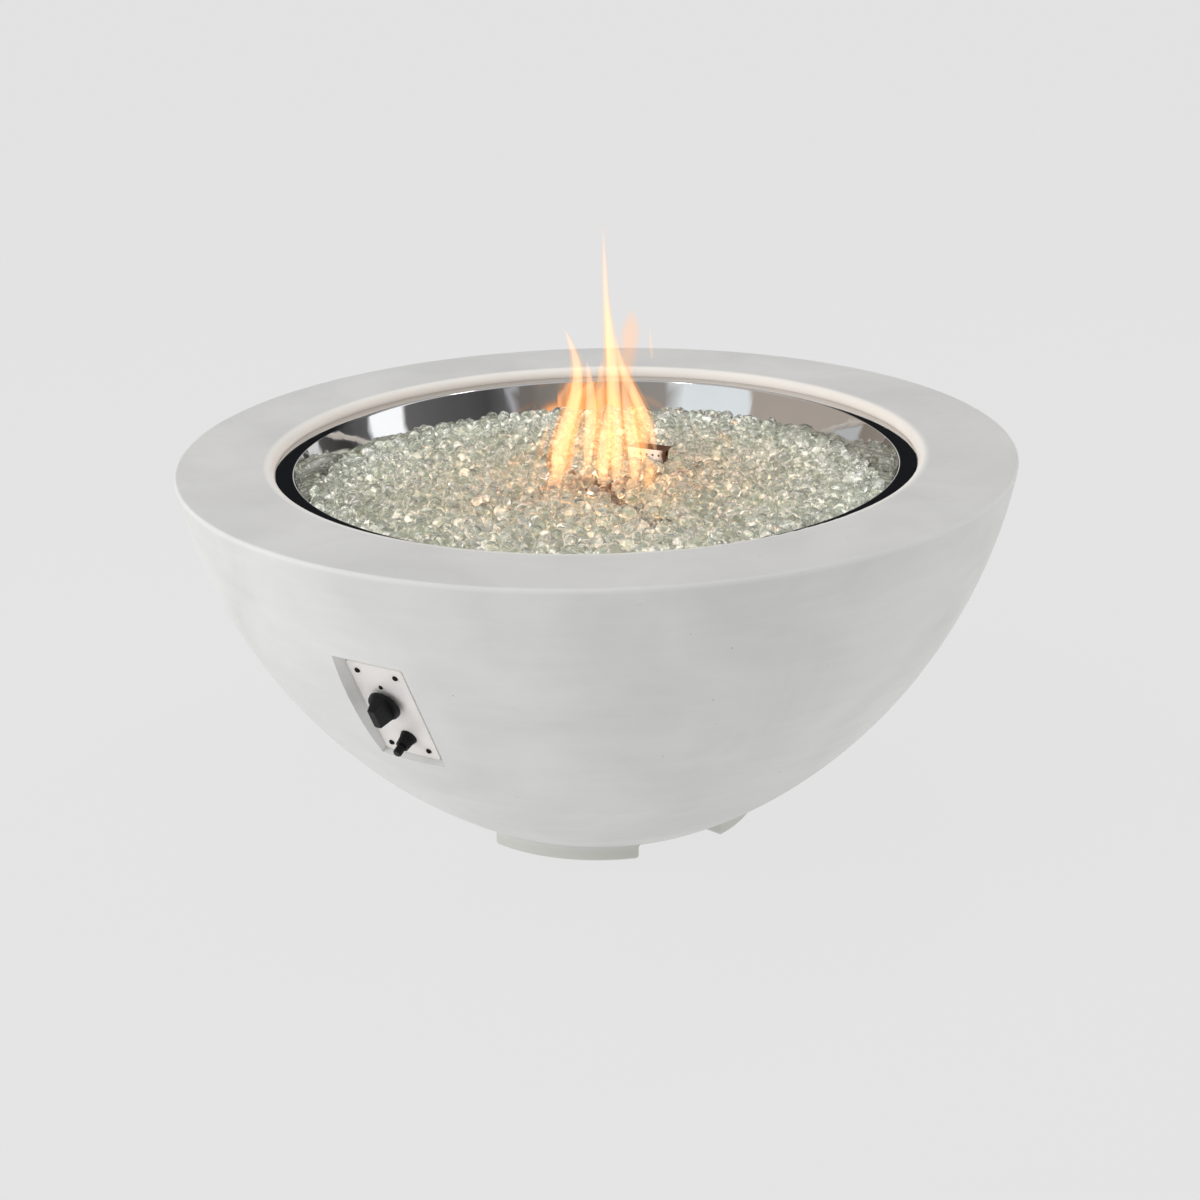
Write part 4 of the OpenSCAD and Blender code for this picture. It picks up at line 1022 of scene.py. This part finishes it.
@dataclass
class Flame:
    """Gas flames over the burner, part of the stage: soft tongues of glowing gas.

    Attributes:
        core: Share of a tongue's width that its bright core fills.
        kindled: Heights in metres between which the gas comes to its full glow.
        unlit: Share of its glow and density that the gas has below them.
        taken: Colour that is left of the light behind it, sRGB hex.
        steps: Steps along a tongue.
        tongues: The tongues that burn.
    """

    core: float = 0.6
    kindled: tuple[float, float] = (0.425, 0.465)
    unlit: float = 0.15
    taken: str = "#FFCE94"
    steps: int = 40
    tongues: tuple[Tongue, ...] = (
        Tongue(Heat.HOT, (26, 428), (18, 692), 0, 16, 0.30, 0, 2),
        Tongue(Heat.HOT, (19, 585), (15, 781), 0, 6, 0.25, 0, 0),
        Tongue(Heat.HOT, (78, 476), (26, 640), -5, 11, 0.42, 4, -1),
        Tongue(Heat.FAINT, (36, 535), (51, 664), 30, 14, 0.72, 0, 0),
        Tongue(Heat.HOT, (-50, 436), (-37, 650), -10, 17, 0.22, -9, 14),
        Tongue(Heat.HOT, (-15, 440), (-9, 602), 10, 13, 0.48, -1, 6),
        Tongue(Heat.WARM, (-2, 470), (10, 600), 25, 11, 0.50, 0, 1),
        Tongue(Heat.HOT, (46, 432), (36, 590), -20, 14, 0.42, 2, 5),
        Tongue(Heat.WARM, (60, 458), (48, 580), 10, 15, 0.42, 2, 2),
        Tongue(Heat.HOT, (8, 438), (20, 560), -10, 14, 0.35, 0, -3),
        Tongue(Heat.FAINT, (97, 517), (48, 546), 60, 6, 0.55, 0, 4),
        Tongue(Heat.WARM, (-81, 463), (-56, 536), -20, 5, 0.60),
        Tongue(Heat.FAINT, (-85, 512), (-78, 540), 40, 4, 0.55, 0, 3),
        Tongue(Heat.WARM, (-30, 484), (-14, 520), -25, 5, 0.40, 0, 3),
        Tongue(Heat.FAINT, (143, 477), (124, 510), 40, 4, 0.50),
        Tongue(Heat.FAINT, (180, 472), (158, 494), 50, 7, 0.60),
        Tongue(Heat.WARM, (60, 443), (63, 492), -50, 10, 0.45, 0, 6),
        Tongue(Heat.FAINT, (124, 454), (92, 486), -40, 3, 0.50),
        Tongue(Heat.WARM, (-65, 449), (-52, 474), -60, 5, 0.55),
        Tongue(Heat.FAINT, (18, 428), (9, 450), -70, 5, 0.60),
        Tongue(Heat.FAINT, (-114, 473), (-85, 494), -30, 7, 0.45),
        Tongue(Heat.WARM, (74, 600), (71, 648), 0, 3, 0.35),
        Tongue(Heat.WARM, (-34, 450), (-22, 590), 5, 11, 0.40, -4, 2),
    )

    def build(self) -> None:
        """Make the tongues and the warm light that they throw."""
        turn = Matrix.Rotation(math.radians(PHOTO_DEG), 3, "Z")
        for number, tongue in enumerate(self.tongues):
            line, radii = tongue.line(turn, self.steps)
            colour, glow, bright, shine, density = tongue.heat.value
            kind = tongue.heat.name.lower()
            mantle = self.gas("gas_mantle_" + kind, colour, glow, density)
            self.part(f"flame_{number}", line, radii, mantle)
            narrow = [max(r * self.core, 0.3 * MM) for r in radii]
            core = self.gas("gas_core_" + kind, bright, shine, density)
            self.part(f"flame_core_{number}", line, narrow, core)
        lamp = bpy.data.lights.new("flame_glow", "POINT")
        lamp.energy = 0.6
        lamp.color = linear("#FFE2C4")[:3]
        lamp.shadow_soft_size = 0.09
        made = new_object("flame_glow", lamp)
        made.location = (0.0, 0.0, 0.52)
        made.visible_glossy = False

    def part(self, name: str, line: list[Vector], radii: list[float], gas: Material) -> None:
        """Make one body of gas and put it on the stage.

        Args:
            name: Its name.
            line: Its centreline.
            radii: Its half widths.
            gas: What fills it.
        """
        mesh = tube(name, line, radii, sides=16)
        mesh.materials.append(gas)
        new_object(name, mesh)

    def gas(self, name: str, light: str, strength: float, density: float) -> Material:
        """Make glowing gas, which adds its own light and takes blue from what is behind it.

        Args:
            name: Its name.
            light: Colour of its glow, sRGB hex.
            strength: Glow per metre.
            density: How strongly it takes light, per metre.

        Returns:
            A material with a volume and no surface.
        """
        found = bpy.data.materials.get(name)
        if found:
            return found
        made, tree = blank(name)
        place = add(tree, "ShaderNodeTexCoord").outputs["Object"]
        height = add(tree, "ShaderNodeSeparateXYZ", {0: place}).outputs[2]
        burn = {"Value": height, "From Min": self.kindled[0], "From Max": self.kindled[1]}
        lit, thick = [
            add(tree, "ShaderNodeMapRange", {**burn, "To Min": self.unlit * most, "To Max": most})
            for most in (strength, density)
        ]
        glow = add(tree, "ShaderNodeEmission", {"Color": linear(light), "Strength": lit})
        take = add(tree, "ShaderNodeVolumeAbsorption", {"Color": linear(self.taken), "Density": thick})
        both = add(tree, "ShaderNodeAddShader", {0: glow, 1: take})
        add(tree, "ShaderNodeOutputMaterial", {"Volume": both})
        return made


@dataclass
class Bowl:
    """The cast bowl with its rim, feet and pocket.

    Attributes:
        node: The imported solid.
    """

    node: str = "bowl_shell"

    def build(self, frame: dict) -> None:
        """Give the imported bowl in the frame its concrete."""
        paint(frame, {self.node: CONCRETE})


@dataclass
class GlassFill:
    """Clear glass gems heaped in the pan, in metres.

    Attributes:
        level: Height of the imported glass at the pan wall.
        rise: How much higher it lies in the middle.
        reach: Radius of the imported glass.
        lean: How far the pan wall leans out for each metre of height.
        gem: Usual radius of a gem.
        arm_deg: Turn of the burner arms from the panel.
        bare_arm: Half width and half length of the strip along an arm that shows it.
        bare_pilot: Half width and half depth of the place before the pilot hood that has no gems.
        pilot_step: How far that place lies from the pilot towards the middle.
    """

    level: float = 0.426
    rise: float = 0.006
    reach: float = 0.3721
    lean: float = 0.27
    gem: float = 0.0088
    arm_deg: float = 58.0
    bare_arm: tuple[float, float] = (0.015, 0.125)
    bare_pilot: tuple[float, float] = (0.036, 0.034)
    pilot_step: float = 0.016

    def build(self, frame: dict) -> None:
        """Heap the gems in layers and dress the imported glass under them.
        """
        paint(frame, {"glass_bed": PACKED})
        tree, keys = self.tree()
        for name, lift, spacing, margin, bare, seed in (
            ("glass_gems_low", 0.003, 0.0150, 0.008, 0.5, 3),
            ("glass_gems_mid", 0.0105, 0.0152, 0.009, 1.0, 11),
            ("glass_gems_top", 0.0160, 0.0330, 0.024, 1.0, 23),
        ):
            sizes = {"Spacing": spacing, "Radius": self.gem, "Seed": seed, "Bare": bare}
            values = {**sizes, "Glass": GLASS.material()}
            made = run_tree(self.ground(lift, margin), tree, keys, values, name)
            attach(made, PIT)
            LOG.info("piece %s: %d faces", name, len(made.data.polygons))
        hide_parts("glass_gems")

    def ground(self, lift: float, margin: float) -> Mesh:
        """Make the cone that one layer of gems lies on.

        Args:
            lift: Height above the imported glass.
            margin: Distance kept from the pan wall.

        Returns:
            A fan of triangles.
        """
        reach, count = self.reach - margin + lift * self.lean, 72
        points = [(0.0, 0.0, self.level + self.rise + lift)]
        for k in range(count):
            a = 2 * math.pi * k / count
            points.append((reach * math.cos(a), reach * math.sin(a), self.level + lift))
        return mesh_of("gem_ground", points, [(0, 1 + k, 1 + (k + 1) % count) for k in range(count)], False)

    def bare(self, tree: NodeTree, share: NodeSocket) -> Node:
        """Find where no gem lies: before the pilot hood, and over stretches of the burner arms.

        Args:
            tree: The gems' node tree.
            share: How much of the bare width holds for this layer.

        Returns:
            A node that is true for points that go.
        """
        place = add(tree, "GeometryNodeInputPosition")
        masks = []
        for turn, middle, (half_x, half_y) in (
            (PILOT_DEG, self.pilot_step - PILOT_R_MM * MM, self.bare_pilot),
            (self.arm_deg, 0.0, self.bare_arm),
            (self.arm_deg + 90, 0.0, self.bare_arm),
        ):
            own = {"Vector": place, "Angle": -math.radians(turn)}
            local = add(tree, "ShaderNodeVectorRotate", own, rotation_type="Z_AXIS")
            away = add(tree, "ShaderNodeVectorMath", {0: local, 1: (0.0, middle, 0.0)}, operation="SUBTRACT")
            size = add(tree, "ShaderNodeVectorMath", {0: away}, operation="ABSOLUTE")
            axes = add(tree, "ShaderNodeSeparateXYZ", {0: size})
            width = add(tree, "ShaderNodeMath", {0: share, 1: half_x}, operation="MULTIPLY")
            across = add(tree, "ShaderNodeMath", {0: axes.outputs[0], 1: width}, operation="LESS_THAN")
            along = add(tree, "ShaderNodeMath", {0: axes.outputs[1], 1: half_y}, operation="LESS_THAN")
            masks.append(add(tree, "ShaderNodeMath", {0: across, 1: along}, operation="MULTIPLY"))
        patch = add(tree, "ShaderNodeTexNoise", {"Vector": place, "Scale": 28.0, "Detail": 1.0})
        open_arm = add(tree, "ShaderNodeMath", {0: patch, 1: 0.45}, operation="GREATER_THAN")
        arms = add(tree, "ShaderNodeMath", {0: masks[1], 1: masks[2]}, operation="MAXIMUM")
        arms = add(tree, "ShaderNodeMath", {0: arms, 1: open_arm}, operation="MULTIPLY")
        return add(tree, "ShaderNodeMath", {0: arms, 1: masks[0]}, operation="MAXIMUM")

    def tree(self) -> tuple[NodeTree, dict[str, str]]:
        """Make the nodes that strew gems over a surface: spacing, size, seed and glass are inputs."""
        kinds = {"Spacing": "Float", "Radius": "Float", "Seed": "Int", "Bare": "Float", "Glass": "Material"}
        tree, start, keys = new_tree("strewn_gems", kinds)
        given = start.outputs
        strewn = {"Mesh": given["Geometry"], "Distance Min": given["Spacing"], "Seed": given["Seed"]}
        spots = add(
            tree,
            "GeometryNodeDistributePointsOnFaces",
            {**strewn, "Density Max": 40000.0},
            distribute_method="POISSON",
        )
        gone = {"Geometry": spots, "Selection": self.bare(tree, given["Bare"])}
        kept = add(tree, "GeometryNodeDeleteGeometry", gone, domain="POINT")
        ball = add(tree, "GeometryNodeMeshIcoSphere", {"Radius": given["Radius"], "Subdivisions": 2})
        turns = {0: (0.0, 0.0, 0.0), 1: (6.283, 6.283, 6.283), "Seed": 5}
        turn = add(tree, "FunctionNodeRandomValue", turns, data_type="FLOAT_VECTOR")
        sizes = {0: (0.90, 0.86, 0.74), 1: (1.16, 1.08, 1.00), "Seed": 8}
        grow = add(tree, "FunctionNodeRandomValue", sizes, data_type="FLOAT_VECTOR")
        laid = {"Points": kept, "Instance": ball, "Rotation": turn, "Scale": grow}
        heap = add(tree, "GeometryNodeInstanceOnPoints", laid)
        tint = add(tree, "FunctionNodeRandomValue", {2: 0.0, 3: 1.0, "Seed": 13}, data_type="FLOAT")
        marked = add(
            tree,
            "GeometryNodeStoreNamedAttribute",
            {"Geometry": heap, "Name": "gem_tint", "Value": tint},
            data_type="FLOAT",
            domain="INSTANCE",
        )
        real = add(tree, "GeometryNodeRealizeInstances", {0: marked})
        place = add(tree, "GeometryNodeInputPosition")
        wave = add(tree, "ShaderNodeTexNoise", {"Vector": place, "Scale": 80.0, "Detail": 0.0})
        middle = {0: wave.outputs["Color"], 1: (0.5, 0.5, 0.5)}
        centred = add(tree, "ShaderNodeVectorMath", middle, operation="SUBTRACT")
        bent = add(tree, "ShaderNodeVectorMath", {0: centred, "Scale": 0.0055}, operation="SCALE")
        jolt = add(tree, "GeometryNodeSetPosition", {"Geometry": real, "Offset": bent})
        soft = add(tree, "GeometryNodeSetShadeSmooth", {0: jolt})
        glass = add(tree, "GeometryNodeSetMaterial", {0: soft, "Material": given["Glass"]})
        add(tree, "NodeGroupOutput", {0: glass})
        return tree, keys


@dataclass
class PanelFrame:
    """Where the control panel lies on the sloping side.

    Attributes:
        tilt_deg: Lean of the panel.
        middle: Middle of its face.
        knob: Panel x and y of the knob's axis, in millimetres.
        igniter: Panel x and y of the igniter's axis, in millimetres.
    """

    tilt_deg: float = 26.63759
    middle: tuple[float, float, float] = (0.0, -0.4497749, 0.2884761)
    knob: tuple[float, float] = (-2.5, 15.5)
    igniter: tuple[float, float] = (5.0, -44.0)

    def at(self, x: float, y: float, n: float) -> Vector:
        """Find the point x to the right, y up the panel and n out of it, in millimetres."""
        s, c = math.sin(math.radians(self.tilt_deg)), math.cos(math.radians(self.tilt_deg))
        return Vector(self.middle) + MM * Vector((x, -y * s - n * c, y * c - n * s))

    def turn(self) -> Matrix:
        """Find the turn that takes x, y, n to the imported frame."""
        return Matrix.Rotation(math.radians(90 + self.tilt_deg), 4, "X")


@dataclass(frozen=True)
class Screws:
    """Button head screws with a cross recess, set into one face.

    Attributes:
        radius_mm: Radius of the head.
        height_mm: Height of the head.
        shank_mm: Radius of the shank.
        length_mm: Length of the shank.
        sides: Number of sides.
    """

    radius_mm: float
    height_mm: float
    shank_mm: float
    length_mm: float
    sides: int = 28

    def pattern(self) -> Object:
        """Make one screw at the origin, its head up."""
        r, h = self.radius_mm * MM, self.height_mm * MM
        s, low = self.shank_mm * MM, -self.length_mm * MM
        head = [(0.0, 1.0), (0.45, 1.0), (0.72, 0.86), (0.92, 0.5), (1.0, 0.12), (0.97, 0.0)]
        profile = [(r * x, h * z) for x, z in head]
        profile += [(s, 0.0), (s, low + s * 0.5), (s * 0.6, low), (0.0, low)]
        points, faces = [], []
        n = len(profile)
        for k in range(self.sides):
            a = 2 * math.pi * k / self.sides
            m = (k + 1) % self.sides
            points += [(x * math.cos(a), x * math.sin(a), z) for x, z in profile]
            faces += [(k * n + i, m * n + i, m * n + i + 1, k * n + i + 1) for i in range(n - 1)]
        mesh = mesh_of("screw_turned", points, faces)
        shell = bmesh.new()
        shell.from_mesh(mesh)
        bmesh.ops.remove_doubles(shell, verts=shell.verts, dist=1e-7)
        bmesh.ops.recalc_face_normals(shell, faces=shell.faces)
        shell.to_mesh(mesh)
        shell.free()
        screw = new_object("screw_pattern", mesh)
        cross = bmesh.new()
        for a in (0.0, math.pi / 2):
            bar = Matrix.Rotation(a, 4, "Z") @ Matrix.Diagonal((r * 1.1, r * 0.26, h * 0.8, 1.0))
            bmesh.ops.create_cube(cross, size=1.0, matrix=Matrix.Translation((0, 0, h * 0.93)) @ bar)
        cut = bpy.data.meshes.new("screw_cross")
        cross.to_mesh(cut)
        cross.free()
        cutter = new_object("screw_cutter", cut)
        recess = screw.modifiers.new("recess", "BOOLEAN")
        recess.operation = "DIFFERENCE"
        recess.use_self = True
        recess.object = cutter
        done = bake(screw, "screw_pattern")
        bpy.data.objects.remove(cutter)
        done.set_sharp_from_angle(angle=math.radians(35))
        return new_object("screw_pattern", done)

    def build(self, name: str, node: str, spots: list[Vector], turn: Matrix, finish: Finish) -> None:
        """Set a screw in each spot.

        Args:
            name: Name of the piece.
            node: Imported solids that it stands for.
            spots: Where the heads seat.
            turn: Turn from the screw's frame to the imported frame.
            finish: Finish of the screws.
        """
        kinds = {"Screw": "Object", "Turn": "Vector", "Finish": "Material"}
        tree, start, keys = new_tree("set_screws", kinds)
        given = start.outputs
        one = add(tree, "GeometryNodeObjectInfo", {"Object": given["Screw"]}).outputs["Geometry"]
        each = add(tree, "FunctionNodeRandomValue", {2: 0.0, 3: 1.5, "Seed": 4}, data_type="FLOAT")
        spin = add(tree, "ShaderNodeCombineXYZ", {2: each})
        laid = {"Points": given["Geometry"], "Instance": one, "Rotation": given["Turn"]}
        rows = add(tree, "GeometryNodeInstanceOnPoints", laid)
        spun = {"Instances": rows, "Rotation": spin, "Local Space": True}
        stand = add(tree, "GeometryNodeRotateInstances", spun)
        real = add(tree, "GeometryNodeRealizeInstances", {0: stand})
        steel = add(tree, "GeometryNodeSetMaterial", {0: real, "Material": given["Finish"]})
        add(tree, "NodeGroupOutput", {0: steel})
        ground = bpy.data.meshes.new("screw_spots")
        ground.from_pydata([tuple(s) for s in spots], [], [])
        screw = self.pattern()
        values = {"Screw": screw, "Turn": tuple(turn.to_euler()), "Finish": finish.material()}
        made = run_tree(ground, tree, keys, values, name)
        bpy.data.objects.remove(screw)
        stand_for(made, node, PIT)


@dataclass
class ControlPanel:
    """Brushed plate with its screws, knob and igniter, in millimetres.

    Attributes:
        face: Where the panel lies.
        screw_x: Spacing of the corner screws across.
        screw_y: Spacing of the corner screws up and down.
        valve_screw_y: Spacing of the valve screws.
        corner_screw: Screws that hold the plate.
        valve_screw: Screws that hold the valve.
    """

    face: PanelFrame
    screw_x: float = 54.0
    screw_y: float = 125.0
    valve_screw_y: float = 48.0
    corner_screw: Screws = Screws(radius_mm=3.7, height_mm=2.4, shank_mm=2.0, length_mm=7.0)
    valve_screw: Screws = Screws(radius_mm=2.96, height_mm=1.92, shank_mm=1.8, length_mm=5.5)

    def build(self, frame: dict) -> None:
        """Dress the plate and make its screws, knob and igniter.
        """
        paint(frame, {"panel_inserts": TURNED, "igniter_nut": PLATED})
        softened(frame, "control_panel", 0.3, BRUSHED)
        face, turn = self.face, self.face.turn()
        corners = [face.at(x * self.screw_x / 2, y * self.screw_y / 2, 0) for x in (-1, 1) for y in (-1, 1)]
        self.corner_screw.build("panel_screws_set", "panel_screws", corners, turn, BLACKED)
        x, y = face.knob
        pair = [face.at(x, y + side * self.valve_screw_y / 2, 0) for side in (-1, 1)]
        self.valve_screw.build("valve_screws_set", "valve_screws", pair, turn, BLACKED)
        softened(frame, "gas_knob", 0.7, MOULDED)
        softened(frame, "igniter_body", 0.25, MOULDED)
        softened(frame, "igniter_button", 0.3, BUTTON)


@dataclass
class Spring:
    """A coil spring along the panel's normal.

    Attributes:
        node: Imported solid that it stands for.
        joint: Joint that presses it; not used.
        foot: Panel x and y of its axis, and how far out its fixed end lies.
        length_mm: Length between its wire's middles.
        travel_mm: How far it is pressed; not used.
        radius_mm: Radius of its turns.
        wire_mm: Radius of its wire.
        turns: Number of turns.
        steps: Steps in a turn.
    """

    node: str
    joint: str
    foot: tuple[float, float, float]
    length_mm: float
    travel_mm: float
    radius_mm: float
    wire_mm: float = 0.5
    turns: int = 5
    steps: int = 32

    def build(self, face: PanelFrame) -> None:
        """Wind the spring.

        Args:
            face: Where the panel lies.
        """
        x, y, n = self.foot
        line = []
        for i in range(self.turns * self.steps + 1):
            a = 2 * math.pi * i / self.steps
            up = n + self.length_mm * i / (self.turns * self.steps)
            line.append(face.at(x + self.radius_mm * math.cos(a), y + self.radius_mm * math.sin(a), up))
        mesh = tube(self.node, line, [self.wire_mm * MM] * len(line), sides=10)
        made = new_object(self.node + "_wound", mesh, WIRE)
        stand_for(made, self.node, PIT)
        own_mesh(made)


@dataclass
class GasTrain:
    """Valve, fittings, hose, leads and springs inside the bowl, in millimetres.

    Attributes:
        face: Where the panel lies.
        outlet: Where the hose leaves the valve, as panel x, y and depth.
        hose_r: Radius of the hose over its ribs.
        rib: Height of the ribs.
        ribs: Number of half ribs along the hose.
        plain: Half ribs that stay plain at each end.
        fine: Rings in a half rib.
        lead_r: Radius of the leads.
        jet_z: Height of the underside of the jet's hexagon.
        spigot: How far below it the hose stops, under the jet's spigot.
        pan_z: Height of the pan's underside.
        probe_x: Distance of spark and probe from the pilot's middle.
        probe_low: How far below the pan they end.
        magnet_n: Depth of the magnet unit's end behind the panel.
    """

    face: PanelFrame
    outlet: tuple[float, float, float] = (27.0, 15.5, -28.5)
    hose_r: float = 6.0
    rib: float = 1.1
    ribs: int = 190
    plain: int = 5
    fine: int = 5
    lead_r: float = 1.6
    jet_z: float = 301.5
    spigot: float = 10.05
    pan_z: float = 399.5
    probe_x: float = 13.0
    probe_low: float = 14.0
    magnet_n: float = -69.0

    def build(self, frame: dict) -> None:
        """Dress the metal parts and make the hose, leads and springs.
        """
        brass = (
            "magnet_unit", "inlet_fitting", "outlet_nut", "gas_orifice", "orifice_nut", "thermocouple_nut",
        )
        plated = ("valve_stem", "valve_plunger", "burner_nipple", "pan_washer", "pan_locknut")
        paint(frame, {"gas_valve": FORGED, "air_mixer": DIE_CAST})
        paint(frame, dict.fromkeys(brass, TURNED))
        paint(frame, dict.fromkeys(plated, PLATED))
        self.hose()
        self.lead("igniter_lead", self.spark_route(), SLEEVE)
        self.lead("thermocouple_lead", self.probe_route(), DRAWN)
        face = self.face
        for node, joint, foot, length, travel, radius in (
            ("plunger_spring", "knob_push", (*face.knob, -36.3), 10.55, 5.0, 3.0),
            ("button_spring", "igniter_press", (*face.igniter, -3.3), 9.55, 6.0, 4.3),
        ):
            Spring(node, joint, foot, length, travel, radius).build(face)

    def spot(self, x: float, y: float, z: float) -> Vector:
        """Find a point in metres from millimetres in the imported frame."""
        return Vector((x, y, z)) * MM

    def at_pilot(self, x: float) -> Vector:
        """Find the point under the pan that lies x across from the pilot's middle."""
        s, c = math.sin(math.radians(PILOT_DEG)), math.cos(math.radians(PILOT_DEG))
        return self.spot(x * c + PILOT_R_MM * s, x * s - PILOT_R_MM * c, self.pan_z - self.probe_low)

    def hose(self) -> None:
        """Sweep the ribbed hose from the valve to the mixer."""
        start = self.face.at(*self.outlet)
        up = start.z / MM
        back = self.face.middle[1] / MM
        stop = self.jet_z - self.spigot
        route = [start + self.spot(*step) for step in ((0, 0, 0), (14, 0, 0), (28, 0, 0), (66, 34, -4))]
        route += [
            self.spot(98, back + 160, up - 26),
            self.spot(84, -180, self.jet_z - 64),
            self.spot(44, -66, self.jet_z - 112),
            self.spot(12, -14, self.jet_z - 104),
        ]
        route += [self.spot(0, 0, stop - below) for below in (50, 26, 13, 0)]
        line = even_line(smooth_line(route, steps=16), self.ribs * self.fine)
        radii = []
        for i in range(len(line)):
            step = i / self.fine
            ribbed = self.plain < step < self.ribs - self.plain
            swell = 0.5 + 0.5 * math.cos(math.pi * step) if ribbed else 0.0
            radii.append((self.hose_r - self.rib + self.rib * swell) * MM)
        mesh = tube("gas_hose_ribbed", line, radii, sides=18)
        made = new_object("gas_hose_ribbed", mesh, CORRUGATED)
        stand_for(made, "gas_hose", PIT)

    def spark_route(self) -> list[Vector]:
        """List the points of the spark lead, from the igniter to the pilot."""
        middle = Vector(self.face.middle) / MM
        end = self.at_pilot(-self.probe_x)
        return [
            *(self.face.at(*self.face.igniter, n) for n in (-24, -32, -40)),
            self.spot(-30, middle.y + 130, middle.z + 10),
            self.spot(-62, -150, self.pan_z - 70),
            self.spot(-64, 20, self.pan_z - 58),
            end - self.spot(10, 30, 46),
            *(end - self.spot(0, 0, below) for below in (22, 11, 0)),
        ]

    def probe_route(self) -> list[Vector]:
        """List the points of the thermocouple lead, from the probe to the magnet unit."""
        start = self.at_pilot(self.probe_x)
        return [
            *(start - self.spot(0, 0, below) for below in (0, 11, 22)),
            start - self.spot(20, 30, 44),
            self.spot(-34, 30, self.pan_z - 44),
            self.spot(-30, -140, self.pan_z - 44),
            self.spot(-12, self.face.middle[1] / MM + 160, self.pan_z - 38),
            *(self.face.at(*self.face.knob, self.magnet_n + n) for n in (-24, -10, 4)),
        ]

    def lead(self, node: str, route: list[Vector], finish: Finish) -> None:
        """Sweep a round lead along its route.

        Args:
            node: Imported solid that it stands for.
            route: Points that it passes through.
            finish: Finish of its sleeve.
        """
        line = smooth_line(route, steps=14)
        mesh = tube(node, line, [self.lead_r * MM] * len(line), sides=12)
        made = new_object(node + "_round", mesh, finish)
        stand_for(made, node, PIT)


@dataclass
class Burner:
    """Cross burner, its pan and the pilot, in millimetres.

    Attributes:
        hood_w: Depth of the hood inside its sheet.
        hood_t: Thickness of its sheet.
        hood_z: Height of the middle of the hood's front.
    """

    hood_w: float = 24.0
    hood_t: float = 1.2
    hood_z: float = 442.0

    def build(self, frame: dict) -> None:
        """Dress the pan, burner and pilot.
        """
        paint(frame, dict.fromkeys(("burner_hub", "burner_arms", "arm_caps"), BROWNED))
        paint(frame, dict.fromkeys(("hood_screws", "bracket_screws", "spark_electrode"), PLATED))
        paint(frame, {"pan_gasket": FIBRE, "pilot_bracket": SHEET, "spark_insulator": ALUMINA})
        paint(frame, {"thermocouple": DRAWN})
        softened(frame, "burner_pan", 0.5, POLISHED, mouth_mm=2.2)
        a = math.radians(PILOT_DEG)
        out = PILOT_R_MM - self.hood_w / 2 - self.hood_t
        steel = HoodSteel(
            "stainless_flame_browned_hood",
            "#FFFFFF",
            "#F6F5F2",
            0.45,
            patch_mm=8.0,
            grain_mm=1.0,
            depth_mm=0.01,
            slot="stainless",
            centre=(out * math.sin(a) * MM, -out * math.cos(a) * MM, self.hood_z * MM),
            turn_deg=PILOT_DEG,
        )
        softened(frame, "pilot_hood", 0.5, steel)


def main() -> None:
    """Build every sub-assembly in order."""
    logging.basicConfig(level=logging.INFO, format="%(name)s: %(message)s")
    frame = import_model()
    PhotoCamera().build()
    Studio().build()
    face = PanelFrame()
    for made in (Bowl(), Burner(), GlassFill(), ControlPanel(face), GasTrain(face)):
        made.build(frame)
    Flame().build()


if __name__ == "__main__":
    main()
